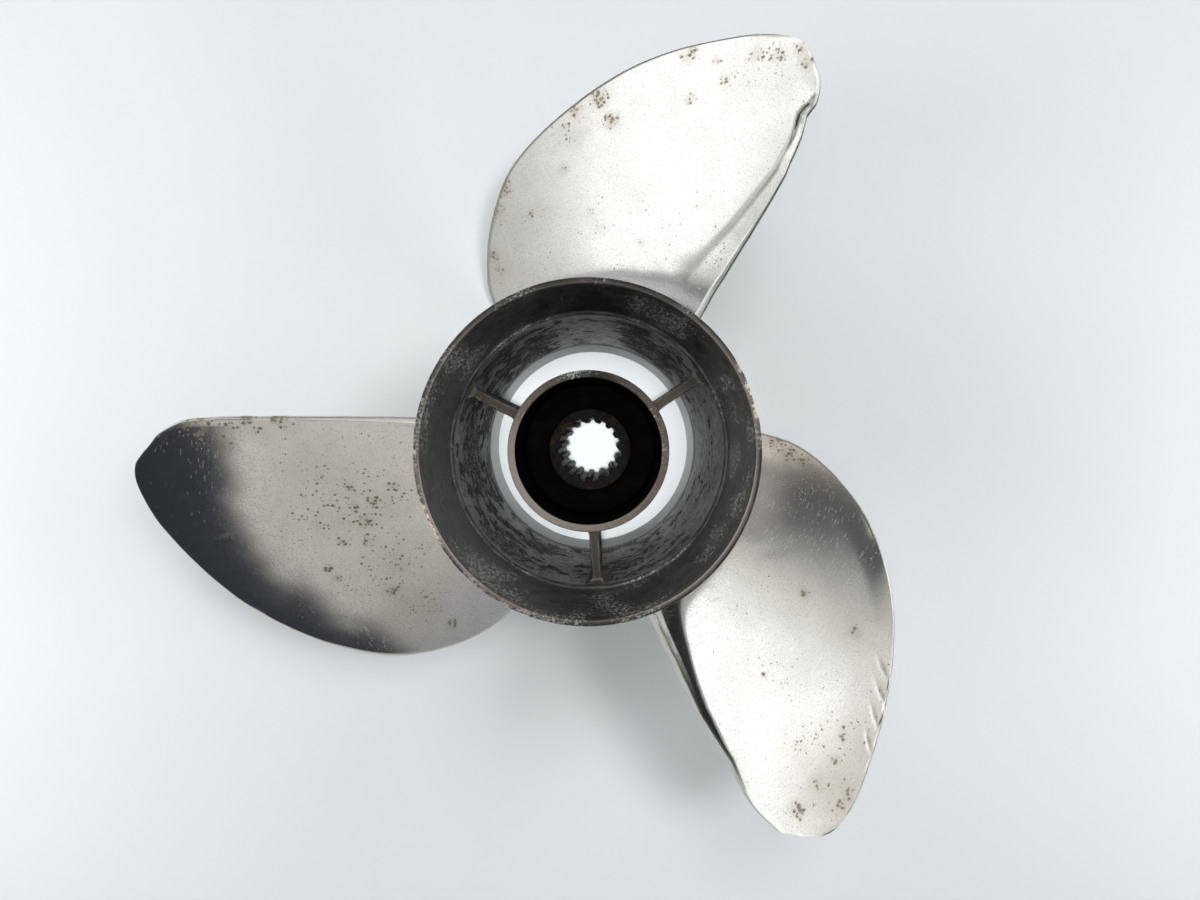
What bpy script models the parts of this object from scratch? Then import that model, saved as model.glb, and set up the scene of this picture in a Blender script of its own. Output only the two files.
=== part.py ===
"""Ship propeller: three blades, left-hand rotation, with the exhaust led out through the hub.

The shaft axis is Z and points aft. The origin is on that axis, at the propeller's centre of mass.
A depth is a distance forward from the aft lip of the hub, so it grows as Z falls.
An angle is measured about the axis from +X towards +Y, and the first blade's tip lies at TIP_ANGLE.
Hub, blades, webs and inner tube are sections of one casting; the rubber and the splined sleeve are
pressed into it.
"""

import math

import bmesh
import bpy
from mathutils import Matrix, Vector

PROPELLER_NAME = "ship_propeller"
ORIGIN_DEPTH = 0.0770
SEAT_GAP = 0.0003
MERGE_DISTANCE = 0.00001

# Finishes, as (colour, roughness, share of metal)
POLISHED_STAINLESS = ((0.62, 0.61, 0.58), 0.22, 1.0)
EXHAUST_STAINED_STAINLESS = ((0.16, 0.16, 0.15), 0.45, 1.0)
BLACK_RUBBER = ((0.012, 0.011, 0.010), 0.75, 0.0)
RUSTED_SLEEVE = ((0.10, 0.06, 0.04), 0.70, 0.6)

# Outer hub: the barrel that carries the blades, with a flared mouth at its aft end. The points of
# flare and mouth are shares of the change in radius and of the depth, and the ridge rises between
# two shares of its own depth.
HUB_LENGTH = 0.1350
LIP_RADIUS = 0.0600
LIP_WIDTH = 0.0021
LIP_ROUND = 0.0004
FLARE_DEPTH = 0.0240
FLARE_POINTS = ((0.62, 0.40), (0.90, 0.72))
BARREL_AFT_RADIUS = 0.0556
BARREL_FRONT_RADIUS = 0.0508
MOUTH_DEPTH = 0.0300
MOUTH_END_WALL = 0.0031
MOUTH_POINT = (0.55, 0.45)
RIDGE_DEPTH = 0.0330
RIDGE_WALL = 0.0040
RIDGE_RAMP = (0.4, 0.6)
CHANNEL_FRONT_WALL = 0.0042
FRONT_BAND_LENGTH = 0.0240
FRONT_BAND_STEP = 0.0003
FRONT_WALL = 0.0047
FRONT_CHAMFER = 0.0008
HUB_SEGMENTS = 96

# Inner tube, which holds the rubber and stands in the exhaust passage on three webs
TUBE_AFT_DEPTH = 0.0200
TUBE_FRONT_DEPTH = 0.1180
TUBE_RADIUS = 0.0296
TUBE_WALL = 0.0027
TUBE_CHAMFER = 0.0004
TUBE_SEGMENTS = 72
WEB_COUNT = 3
WEB_ANGLE = 33.5
WEB_THICKNESS = 0.0038
WEB_AFT_DEPTH = 0.0250
WEB_AFT_SLOPE = 0.0130
WEB_FRONT_DEPTH = 0.1080

# Rubber and the splined sleeve for a one-inch shaft
SLEEVE_RADIUS = 0.0163
SLEEVE_AFT_DEPTH = 0.0530
SLEEVE_LENGTH = 0.0690
SLEEVE_CHAMFER = 0.0006
SPLINE_COUNT = 15
SPLINE_PHASE = 88.0
SPLINE_MAJOR_RADIUS = 0.0127
SPLINE_MINOR_RADIUS = 0.01125
SPLINE_GROOVE_SHARE = 0.52
SPLINE_CUTTER_MARGIN = 0.0024
SLEEVE_SEGMENTS = 60
RUBBER_AFT_DEPTH = 0.0600
RUBBER_FRONT_DEPTH = 0.1140
RUBBER_CROWN = 0.0020

# Blades
BLADE_COUNT = 3
TIP_RADIUS = 0.1776
PITCH = 0.4830
TIP_ANGLE = 64.2
BLADE_AFT_MARGIN = 0.0021
BLADE_FRONT_MARGIN = 0.0005
TIP_RAKE = 0.0096
CUP_HEIGHT = 0.0030
CUP_WIDTH = 0.0130
CUP_START_SHARE = 0.15
CUP_FULL_SHARE = 0.50
ROOT_FILLET = 0.0052
ROOT_SWELL = 0.0036
ROOT_THICKNESS = 0.0085
TIP_THICKNESS = 0.0024
LEADING_THICKNESS = 0.0010
TRAILING_ROOT_THICKNESS = 0.0032
TRAILING_TIP_THICKNESS = 0.0019
CORNER_SHARE = math.sqrt(0.5)

# Powers that shape the blade's thickness: how fast it falls towards the tip, how far the thickest
# place lies behind the middle of the chord, and how full the section is round it
TAPER_POWER = 1.6
THICKEST_POWER = 0.9
FULLNESS_POWER = 0.8

# Rows and columns of the blade's mesh. Rows crowd in the root fillet and towards the tip, and arcs
# are measured at a radius that stands for the whole span.
OUTLINE_STEPS = 12
CHORD_STEPS = 18
SPAN_STEPS = 22
FILLET_STEPS = 3
SEAT_STEPS = 6
FILLET_ROW_POWER = 1.5
SPAN_ROW_POWER = 1.35
ARC_SPAN_SHARE = 0.6
SHARP_ANGLE = 35.0

# The blade's outline from the leading root over the tip to the trailing root. Each point is a share
# of the span above the hub, and a share of the angle that the root takes round the hub.
LEADING_OUTLINE = (
    (0.000, 1.000), (0.150, 1.023), (0.300, 0.996), (0.410, 0.942), (0.520, 0.866), (0.640, 0.763),
    (0.760, 0.607), (0.866, 0.462), (0.948, 0.321), (0.986, 0.253),
)
TIP_POINT = (1.000, 0.202)
TRAILING_OUTLINE = (
    (0.990, 0.172), (0.965, 0.154), (0.930, 0.136), (0.880, 0.114), (0.750, 0.090), (0.620, 0.079),
    (0.320, 0.052), (0.085, 0.018), (0.000, 0.000),
)


def height(depth):
    return ORIGIN_DEPTH - depth


def depth_of(z):
    return ORIGIN_DEPTH - z


def mix(start, end, share):
    return start + (end - start) * share


def polar(radius, angle, z):
    return Vector((radius * math.cos(angle), radius * math.sin(angle), z))


def barrel_radius(depth):
    """Outer radius of the barrel, a plain taper from the flare to the front face."""
    share = (depth - FLARE_DEPTH) / (HUB_LENGTH - FLARE_DEPTH)
    return mix(BARREL_AFT_RADIUS, BARREL_FRONT_RADIUS, share)


def channel_radius(depth):
    """Inner radius of the exhaust channel between the ridge and the front band."""
    front = HUB_LENGTH - FRONT_BAND_LENGTH
    share = (depth - RIDGE_DEPTH) / (front - RIDGE_DEPTH)
    ridge_radius = barrel_radius(RIDGE_DEPTH) - RIDGE_WALL
    return mix(ridge_radius, barrel_radius(front) - CHANNEL_FRONT_WALL, share)


def new_material(name, colour, roughness, metallic):
    material = bpy.data.materials.new(name)
    material.use_nodes = True
    shader = material.node_tree.nodes["Principled BSDF"]
    shader.inputs["Base Color"].default_value = (*colour, 1.0)
    shader.inputs["Roughness"].default_value = roughness
    shader.inputs["Metallic"].default_value = metallic
    material.diffuse_color = (*colour, 1.0)
    return material


def new_object(name, data, collection, material=None):
    piece = bpy.data.objects.new(name, data)
    collection.objects.link(piece)
    if material:
        data.materials.append(material)
    return piece


def mesh_from_bmesh(name, shape):
    data = bpy.data.meshes.new(name)
    shape.to_mesh(data)
    shape.free()
    return data


def turned(name, profile, segments, collection, material):
    """A turned piece from a closed profile of (radius, depth) that runs down its outer side first."""
    count = len(profile)
    data = bpy.data.meshes.new(name)
    points = [(radius, 0.0, height(depth)) for radius, depth in profile]
    edges = [(index, (index + 1) % count) for index in range(count)]
    data.from_pydata(points, edges, [])
    piece = new_object(name, data, collection, material)
    screw = piece.modifiers.new("Turn", "SCREW")
    screw.axis = "Z"
    screw.angle = math.tau
    screw.steps = segments
    screw.render_steps = segments
    screw.use_merge_vertices = True
    screw.merge_threshold = MERGE_DISTANCE
    screw.use_smooth_shade = False
    return piece


def make_outer_hub(collection, material):
    mouth_radius = LIP_RADIUS - LIP_WIDTH
    mouth_end_radius = barrel_radius(MOUTH_DEPTH) - MOUTH_END_WALL
    ridge_radius = channel_radius(RIDGE_DEPTH)
    band_depth = HUB_LENGTH - FRONT_BAND_LENGTH
    band_radius = channel_radius(band_depth)
    ramp_start, ramp_end = (mix(MOUTH_DEPTH, RIDGE_DEPTH, share) for share in RIDGE_RAMP)
    flare = [
        (mix(LIP_RADIUS, BARREL_AFT_RADIUS, inward), FLARE_DEPTH * deep)
        for inward, deep in FLARE_POINTS
    ]
    profile = [
        (LIP_RADIUS - LIP_ROUND, 0.0),
        (LIP_RADIUS, LIP_ROUND),
        *flare,
        (BARREL_AFT_RADIUS, FLARE_DEPTH),
        (barrel_radius(HUB_LENGTH - FRONT_CHAMFER), HUB_LENGTH - FRONT_CHAMFER),
        (BARREL_FRONT_RADIUS - FRONT_CHAMFER, HUB_LENGTH),
        (BARREL_FRONT_RADIUS - FRONT_WALL, HUB_LENGTH),
        (band_radius - FRONT_BAND_STEP, band_depth + FRONT_BAND_STEP),
        (band_radius, band_depth),
        (ridge_radius, RIDGE_DEPTH),
        (ridge_radius, ramp_end),
        (mouth_end_radius, ramp_start),
        (mouth_end_radius, MOUTH_DEPTH),
        (mix(mouth_radius, mouth_end_radius, MOUTH_POINT[0]), MOUTH_DEPTH * MOUTH_POINT[1]),
        (mouth_radius, LIP_ROUND),
        (mouth_radius + LIP_ROUND, 0.0),
    ]
    return turned("outer_hub", profile, HUB_SEGMENTS, collection, material)


def make_inner_tube(collection, material):
    bore = TUBE_RADIUS - TUBE_WALL
    profile = [
        (TUBE_RADIUS - TUBE_CHAMFER, TUBE_AFT_DEPTH),
        (TUBE_RADIUS, TUBE_AFT_DEPTH + TUBE_CHAMFER),
        (TUBE_RADIUS, TUBE_FRONT_DEPTH - TUBE_CHAMFER),
        (TUBE_RADIUS - TUBE_CHAMFER, TUBE_FRONT_DEPTH),
        (bore + TUBE_CHAMFER, TUBE_FRONT_DEPTH),
        (bore, TUBE_FRONT_DEPTH - TUBE_CHAMFER),
        (bore, TUBE_AFT_DEPTH + TUBE_CHAMFER),
        (bore + TUBE_CHAMFER, TUBE_AFT_DEPTH),
    ]
    return turned("inner_hub", profile, TUBE_SEGMENTS, collection, material)


def make_web(index, collection, material):
    """A flat plate between the inner tube and the barrel, seated on both."""
    outer_aft = WEB_AFT_DEPTH + WEB_AFT_SLOPE
    inner = TUBE_RADIUS + SEAT_GAP
    outline = [
        (inner, height(WEB_FRONT_DEPTH)),
        (channel_radius(WEB_FRONT_DEPTH) - SEAT_GAP, height(WEB_FRONT_DEPTH)),
        (channel_radius(outer_aft) - SEAT_GAP, height(outer_aft)),
        (inner, height(WEB_AFT_DEPTH)),
    ]
    name = f"web_{index + 1}"
    data = bpy.data.curves.new(name, "CURVE")
    data.dimensions = "2D"
    data.fill_mode = "BOTH"
    data.extrude = WEB_THICKNESS / 2
    spline = data.splines.new("POLY")
    spline.points.add(len(outline) - 1)
    for point, (x, y) in zip(spline.points, outline):
        point.co = (x, y, 0.0, 1.0)
    spline.use_cyclic_u = True
    piece = new_object(name, data, collection, material)
    angle = math.radians(WEB_ANGLE) + math.tau * index / WEB_COUNT
    upright = Matrix.Rotation(math.pi / 2, 4, "X")
    piece.matrix_world = Matrix.Rotation(angle, 4, "Z") @ upright
    return piece


def make_rubber(collection, material):
    outer = TUBE_RADIUS - TUBE_WALL - SEAT_GAP
    inner = SLEEVE_RADIUS + SEAT_GAP
    profile = [
        (outer - RUBBER_CROWN, RUBBER_AFT_DEPTH),
        (outer, RUBBER_AFT_DEPTH + RUBBER_CROWN),
        (outer, RUBBER_FRONT_DEPTH - RUBBER_CROWN),
        (outer - RUBBER_CROWN, RUBBER_FRONT_DEPTH),
        (inner, RUBBER_FRONT_DEPTH),
        (inner, RUBBER_AFT_DEPTH),
    ]
    return turned("rubber_bushing", profile, TUBE_SEGMENTS, collection, material)


def make_spline_cutter(collection):
    """A toothed bar as long as the sleeve and more, which cuts the grooves into its bore."""
    spacing = math.tau / SPLINE_COUNT
    half_groove = spacing * SPLINE_GROOVE_SHARE / 2
    core_radius = SPLINE_MINOR_RADIUS - (SPLINE_MAJOR_RADIUS - SPLINE_MINOR_RADIUS) / 2
    front = SLEEVE_AFT_DEPTH + SLEEVE_LENGTH
    ring = []
    for tooth in range(SPLINE_COUNT):
        middle = math.radians(SPLINE_PHASE) + tooth * spacing
        ring.append(polar(core_radius, middle - half_groove, 0.0))
        ring.append(polar(SPLINE_MAJOR_RADIUS, middle - half_groove, 0.0))
        ring.append(polar(SPLINE_MAJOR_RADIUS, middle + half_groove, 0.0))
        ring.append(polar(core_radius, middle + half_groove, 0.0))
    shape = bmesh.new()
    floor = Vector((0.0, 0.0, height(front + SPLINE_CUTTER_MARGIN)))
    face = shape.faces.new([shape.verts.new(point + floor) for point in ring])
    swept = bmesh.ops.extrude_face_region(shape, geom=[face])
    moved = [item for item in swept["geom"] if isinstance(item, bmesh.types.BMVert)]
    rise = SLEEVE_LENGTH + 2 * SPLINE_CUTTER_MARGIN
    bmesh.ops.translate(shape, verts=moved, vec=(0.0, 0.0, rise))
    bmesh.ops.recalc_face_normals(shape, faces=shape.faces)
    cutter = new_object("spline_cutter", mesh_from_bmesh("spline_cutter", shape), collection)
    cutter.hide_render = True
    cutter.display_type = "WIRE"
    return cutter


def make_sleeve(collection, material, cutter):
    front = SLEEVE_AFT_DEPTH + SLEEVE_LENGTH
    profile = [
        (SLEEVE_RADIUS - SLEEVE_CHAMFER, SLEEVE_AFT_DEPTH),
        (SLEEVE_RADIUS, SLEEVE_AFT_DEPTH + SLEEVE_CHAMFER),
        (SLEEVE_RADIUS, front - SLEEVE_CHAMFER),
        (SLEEVE_RADIUS - SLEEVE_CHAMFER, front),
        (SPLINE_MINOR_RADIUS, front),
        (SPLINE_MINOR_RADIUS, SLEEVE_AFT_DEPTH),
    ]
    sleeve = turned("spline_sleeve", profile, SLEEVE_SEGMENTS, collection, material)
    cut = sleeve.modifiers.new("Splines", "BOOLEAN")
    cut.operation = "DIFFERENCE"
    cut.solver = "EXACT"
    cut.object = cutter
    return sleeve


def face_normal(radius):
    """The screw surface's normal at this radius, as its shares along Z and along the turn."""
    slope = PITCH / (math.tau * radius)
    length = math.hypot(1.0, slope)
    return 1.0 / length, slope / length


def trailing_root_depth():
    """Depth of the trailing edge at the barrel, with its fillet just clear of the flare."""
    along_z, along_turn = face_normal(BARREL_AFT_RADIUS)
    rise = (along_z + along_turn) * CORNER_SHARE * ROOT_SWELL
    return FLARE_DEPTH + BLADE_AFT_MARGIN + rise


def leading_root_depth():
    """Depth of the leading edge at the barrel, with its fillet just clear of the front face."""
    along_z, along_turn = face_normal(BARREL_FRONT_RADIUS)
    drop = (along_z + along_turn) * CORNER_SHARE * ROOT_SWELL + along_z * LEADING_THICKNESS
    return HUB_LENGTH - BLADE_FRONT_MARGIN - drop


def root_sweep():
    """Angle that the blade's root takes round the hub, in radians."""
    return math.tau * (leading_root_depth() - trailing_root_depth()) / PITCH


def trailing_root_angle():
    return math.radians(TIP_ANGLE) - TIP_POINT[1] * root_sweep()


def rounded_path(points, steps):
    """A smooth path through the points, as short straight pieces."""
    first = [2 * a - b for a, b in zip(points[0], points[1])]
    last = [2 * a - b for a, b in zip(points[-1], points[-2])]
    knots = [first, *points, last]
    path = []
    for before, start, end, after in zip(knots, knots[1:], knots[2:], knots[3:]):
        for step in range(steps):
            t = step / steps
            path.append(tuple(
                0.5 * (2 * b + (c - a) * t + (2 * a - 5 * b + 4 * c - d) * t * t
                       + (3 * b - a - 3 * c + d) * t * t * t)
                for a, b, c, d in zip(before, start, end, after)
            ))
    path.append(tuple(points[-1]))
    return path


def edge_paths():
    """Leading and trailing edge from root to tip, each as (span share, sweep share)."""
    whole = rounded_path([*LEADING_OUTLINE, TIP_POINT, *TRAILING_OUTLINE], OUTLINE_STEPS)
    tip = len(LEADING_OUTLINE) * OUTLINE_STEPS
    return whole[: tip + 1], whole[tip:][::-1]


def along(path, share):
    """The point at this share of a path's length, with both coordinates taken at their real scale."""
    span = TIP_RADIUS - BARREL_AFT_RADIUS
    arc = root_sweep() * mix(BARREL_AFT_RADIUS, TIP_RADIUS, ARC_SPAN_SHARE)
    lengths = [0.0]
    for (s0, a0), (s1, a1) in zip(path, path[1:]):
        lengths.append(lengths[-1] + math.hypot((s1 - s0) * span, (a1 - a0) * arc))
    target = share * lengths[-1]
    for index, (low, high) in enumerate(zip(lengths, lengths[1:])):
        if target <= high or index == len(path) - 2:
            part = (target - low) / (high - low)
            return tuple(mix(a, b, part) for a, b in zip(path[index], path[index + 1]))
    return path[-1]


def face_height(angle, span):
    """Height of the blade's aft face: a screw surface of constant pitch, raked towards the tip."""
    turn = (angle - trailing_root_angle()) / math.tau
    return height(trailing_root_depth() + PITCH * turn) + TIP_RAKE * span * span


def cup_lift(span, distance):
    """How far the cup lifts the aft face this far in from the trailing edge."""
    if distance >= CUP_WIDTH:
        return 0.0
    start, full = CUP_START_SHARE, CUP_FULL_SHARE
    grown = min(1.0, max(0.0, (span - start) / (full - start)))
    return CUP_HEIGHT * grown * (1.0 - distance / CUP_WIDTH) ** 2


def edge_thickness(span):
    """Thickness at the leading and at the trailing edge."""
    return LEADING_THICKNESS, mix(TRAILING_ROOT_THICKNESS, TRAILING_TIP_THICKNESS, span)


def thickness(span, chord):
    """Blade thickness at a share of the span and a share of the chord from the leading edge."""
    outward = max(0.0, 1.0 - span)
    most = mix(TIP_THICKNESS, ROOT_THICKNESS, outward ** TAPER_POWER)
    ends = mix(*edge_thickness(span), chord)
    fullness = math.sin(math.pi * chord ** THICKEST_POWER) ** FULLNESS_POWER
    return ends + max(0.0, most - ends) * fullness


def fillet_swell(above_seat):
    """How far the blade's whole section grows outward where it runs into the barrel."""
    if above_seat >= ROOT_FILLET:
        return 0.0
    part = 1.0 - max(0.0, above_seat) / ROOT_FILLET
    return ROOT_SWELL * (1.0 - math.sqrt(1.0 - part * part))


def on_seat(point):
    """The point moved in or out until it lies the seat gap above the barrel."""
    fitted = barrel_radius(depth_of(point.z)) + SEAT_GAP
    shrink = fitted / math.hypot(point.x, point.y)
    return Vector((point.x * shrink, point.y * shrink, point.z))


def section(lead, trail):
    """One closed section of the blade, from its leading edge along the aft face and back in front.

    lead and trail are the ends of the chord, each as (span share, sweep share).
    """
    middle = mix(BARREL_AFT_RADIUS, TIP_RADIUS, (lead[0] + trail[0]) / 2)
    chord_length = middle * (lead[1] - trail[1]) * root_sweep()

    def place(chord, across, beyond):
        """A point across the thickness and beyond the chord's end, both as (length, swell share)."""
        span = mix(lead[0], trail[0], chord)
        angle = trailing_root_angle() + mix(lead[1], trail[1], chord) * root_sweep()
        seat = barrel_radius(depth_of(face_height(angle, span))) + SEAT_GAP
        radius = mix(seat, TIP_RADIUS, span)
        z = face_height(angle, span) + cup_lift(span, (1.0 - chord) * chord_length)
        along_z, along_turn = face_normal(radius)
        swell = fillet_swell(radius - seat)
        offset = across[0] + across[1] * swell
        ahead = beyond[0] + beyond[1] * swell
        radial = Vector((math.cos(angle), math.sin(angle), 0.0))
        tangent = Vector((-math.sin(angle), math.cos(angle), 0.0))
        point = radial * radius + tangent * (along_turn * offset + along_z * ahead)
        point.z = z + along_z * offset - along_turn * ahead
        return on_seat(point) if span == 0.0 else point

    aft, front = [], []
    for step in range(CHORD_STEPS + 1):
        chord = 0.5 - 0.5 * math.cos(math.pi * step / CHORD_STEPS)
        at_end = step in (0, CHORD_STEPS)
        grow = CORNER_SHARE if at_end else 1.0
        ahead = CORNER_SHARE * (1 if step == 0 else -1) if at_end else 0.0
        span = mix(lead[0], trail[0], chord)
        aft.append(place(chord, (0.0, grow), (0.0, ahead)))
        front.append(place(chord, (-thickness(span, chord), -grow), (0.0, ahead)))
    nose_half = edge_thickness(lead[0])[0] / 2
    tail_half = edge_thickness(trail[0])[1] / 2
    nose = place(0.0, (-nose_half, 0.0), (nose_half, 1.0))
    tail = place(1.0, (-tail_half, 0.0), (0.0, -1.0))
    return aft, tail, front, nose


def span_rows():
    """Shares of the edge length at which the blade has a row of points: close in the root fillet."""
    fillet_share = ROOT_FILLET / (TIP_RADIUS - BARREL_AFT_RADIUS)
    rows = []
    for step in range(FILLET_STEPS):
        rows.append(fillet_share * (step / FILLET_STEPS) ** FILLET_ROW_POWER)
    for step in range(SPAN_STEPS + 1):
        even = step / (SPAN_STEPS + 1)
        rows.append(mix(fillet_share, 1.0, 1.0 - (1.0 - even) ** SPAN_ROW_POWER))
    return rows


def blade_mesh(name):
    """The blade, lofted from root to tip through rows of unlike sections."""
    leading, trailing = edge_paths()
    shape = bmesh.new()
    rows = []
    for share in span_rows():
        lead, trail = along(leading, share), along(trailing, share)
        aft, tail, front, nose = section(lead, trail)
        loop = [*aft, tail, *reversed(front), nose]
        rows.append([shape.verts.new(point) for point in loop])
    count = len(rows[0])
    for lower, upper in zip(rows, rows[1:]):
        for index in range(count):
            after = (index + 1) % count
            shape.faces.new((lower[index], lower[after], upper[after], upper[index]))

    def split(row):
        """Aft face, tail, front face from the leading edge on, and nose of one row."""
        aft = row[: CHORD_STEPS + 1]
        front = row[CHORD_STEPS + 2 : -1][::-1]
        return aft, row[CHORD_STEPS + 1], front, row[-1]

    tip_aft, tip_tail, tip_front, tip_nose = section(TIP_POINT, TIP_POINT)
    tip_points = (tip_aft[0], (tip_tail + tip_nose) / 2, tip_front[0])
    tip_top, tip_middle, tip_bottom = (shape.verts.new(point) for point in tip_points)
    aft, tail, front, nose = split(rows[-1])
    for step in range(CHORD_STEPS):
        shape.faces.new((aft[step], aft[step + 1], tip_top))
        shape.faces.new((front[step], front[step + 1], tip_bottom))
    for edge, end in ((nose, 0), (tail, -1)):
        shape.faces.new((aft[end], tip_top, tip_middle, edge))
        shape.faces.new((front[end], tip_bottom, tip_middle, edge))

    aft, tail, front, nose = split(rows[0])
    seat = [aft]
    for layer in range(1, SEAT_STEPS):
        share = layer / SEAT_STEPS
        between = [on_seat(upper.co.lerp(lower.co, share)) for upper, lower in zip(aft, front)]
        seat.append([shape.verts.new(point) for point in between])
    seat.append(front)
    for upper, lower in zip(seat, seat[1:]):
        for a, b, c, d in zip(upper, upper[1:], lower[1:], lower):
            shape.faces.new((a, b, c, d))
    for edge, end in ((nose, 0), (tail, -1)):
        for upper, lower in zip(seat, seat[1:]):
            shape.faces.new((upper[end], lower[end], edge))
    bmesh.ops.recalc_face_normals(shape, faces=shape.faces)
    return mesh_from_bmesh(name, shape)


def make_blades(collection, material):
    data = blade_mesh("blade")
    data.materials.append(material)
    data.shade_smooth()
    data.set_sharp_from_angle(angle=math.radians(SHARP_ANGLE))
    for index in range(BLADE_COUNT):
        piece = new_object(f"blade_{index + 1}", data, collection)
        piece.rotation_euler.z = math.tau * index / BLADE_COUNT


def main():
    for leftover in list(bpy.data.objects):
        bpy.data.objects.remove(leftover)
    parts = bpy.data.collections.new(PROPELLER_NAME)
    cutters = bpy.data.collections.new("cutters")
    bpy.context.scene.collection.children.link(parts)
    bpy.context.scene.collection.children.link(cutters)
    polished = new_material("polished_stainless", *POLISHED_STAINLESS)
    exhaust_stained = new_material("exhaust_stained_stainless", *EXHAUST_STAINED_STAINLESS)
    rubber = new_material("black_rubber", *BLACK_RUBBER)
    rusted = new_material("rusted_sleeve", *RUSTED_SLEEVE)
    make_outer_hub(parts, exhaust_stained)
    make_inner_tube(parts, exhaust_stained)
    for index in range(WEB_COUNT):
        make_web(index, parts, exhaust_stained)
    make_rubber(parts, rubber)
    make_sleeve(parts, rusted, make_spline_cutter(cutters))
    make_blades(parts, polished)


main()
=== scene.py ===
"""A worn three-blade boat propeller of stainless steel, standing on its hub on a pale studio floor.

The frame holds the propeller's solids in metres, with the shaft along Z and the aft end up. A depth
is a distance forward from the hub's aft lip, so it grows as Z falls. An angle is measured about
the shaft from +X towards +Y, and the first blade points up in the picture.
"""

import functools
import math

import bpy
import numpy as np
from mathutils import Matrix, Vector, noise


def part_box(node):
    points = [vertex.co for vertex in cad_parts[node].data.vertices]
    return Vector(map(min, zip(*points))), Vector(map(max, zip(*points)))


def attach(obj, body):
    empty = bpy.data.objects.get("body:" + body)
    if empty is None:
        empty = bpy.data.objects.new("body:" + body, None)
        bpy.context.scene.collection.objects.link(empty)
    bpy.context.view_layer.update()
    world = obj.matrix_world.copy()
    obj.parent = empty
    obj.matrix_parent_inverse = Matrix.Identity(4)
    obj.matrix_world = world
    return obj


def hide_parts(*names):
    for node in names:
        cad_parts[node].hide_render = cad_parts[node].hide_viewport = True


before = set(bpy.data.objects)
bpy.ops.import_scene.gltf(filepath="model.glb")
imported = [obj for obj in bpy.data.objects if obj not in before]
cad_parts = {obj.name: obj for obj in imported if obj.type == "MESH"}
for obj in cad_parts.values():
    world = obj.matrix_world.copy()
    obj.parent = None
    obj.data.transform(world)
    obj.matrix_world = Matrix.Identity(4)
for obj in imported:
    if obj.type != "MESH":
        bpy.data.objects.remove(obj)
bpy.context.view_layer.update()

bl_info = {
    "name": "Ship Propeller",
    "version": (1, 0, 0),
    "blender": (4, 5, 0),
    "location": "3D View > Sidebar > Propeller",
    "description": "Dresses a worn stainless propeller and sets it on a pale studio floor",
    "category": "Object",
}

MM = 0.001
BODY = "root"

HUB_LOW, HUB_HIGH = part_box("outer_hub")
TUBE_LOW, TUBE_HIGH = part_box("inner_hub")
WEB_LOW, WEB_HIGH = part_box("web_1")
RUBBER_LOW, RUBBER_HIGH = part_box("rubber_bushing")
SLEEVE_LOW, SLEEVE_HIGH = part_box("spline_sleeve")
LIP_HEIGHT = HUB_HIGH.z
HUB_LENGTH = HUB_HIGH.z - HUB_LOW.z

# Straight pieces round each turned body, and round one spline tooth
HUB_SEGMENTS = 480
TUBE_SEGMENTS = 300
RUBBER_SEGMENTS = 192
TOOTH_SEGMENTS = 26

# Points down the curves of the hub's flare and mouth, and pieces along and points round a web
FLARE_POINTS = 14
MOUTH_POINTS = 12
WEB_STEPS = 40
WEB_POINTS = 56
WEB_COUNT = 3

# Rows of points up a blade's root fillet and up the rest of the blade, points along each row of a
# face, points round each edge, and pieces of the outline between two of its points
FILLET_ROWS = 9
BLADE_ROWS = 190
BLADE_COLUMNS = 110
EDGE_POINTS = 6
OUTLINE_STEPS = 12
BLADE_COUNT = 3

# The blade's outline from the leading root over the tip to the trailing root. Each point is a share
# of the span above the hub, and a share of the angle that the root takes round the hub.
LEADING_OUTLINE = (
    (0, 1), (0.15, 1.023), (0.3, 0.996), (0.41, 0.942), (0.52, 0.866), (0.64, 0.763), (0.76, 0.607),
    (0.866, 0.462), (0.948, 0.321), (0.986, 0.253),
)
TIP_POINT = (1, 0.202)
TRAILING_OUTLINE = (
    (0.99, 0.172), (0.965, 0.154), (0.93, 0.136), (0.88, 0.114), (0.75, 0.09), (0.62, 0.079), (0.32, 0.052),
    (0.085, 0.018), (0, 0),
)

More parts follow.
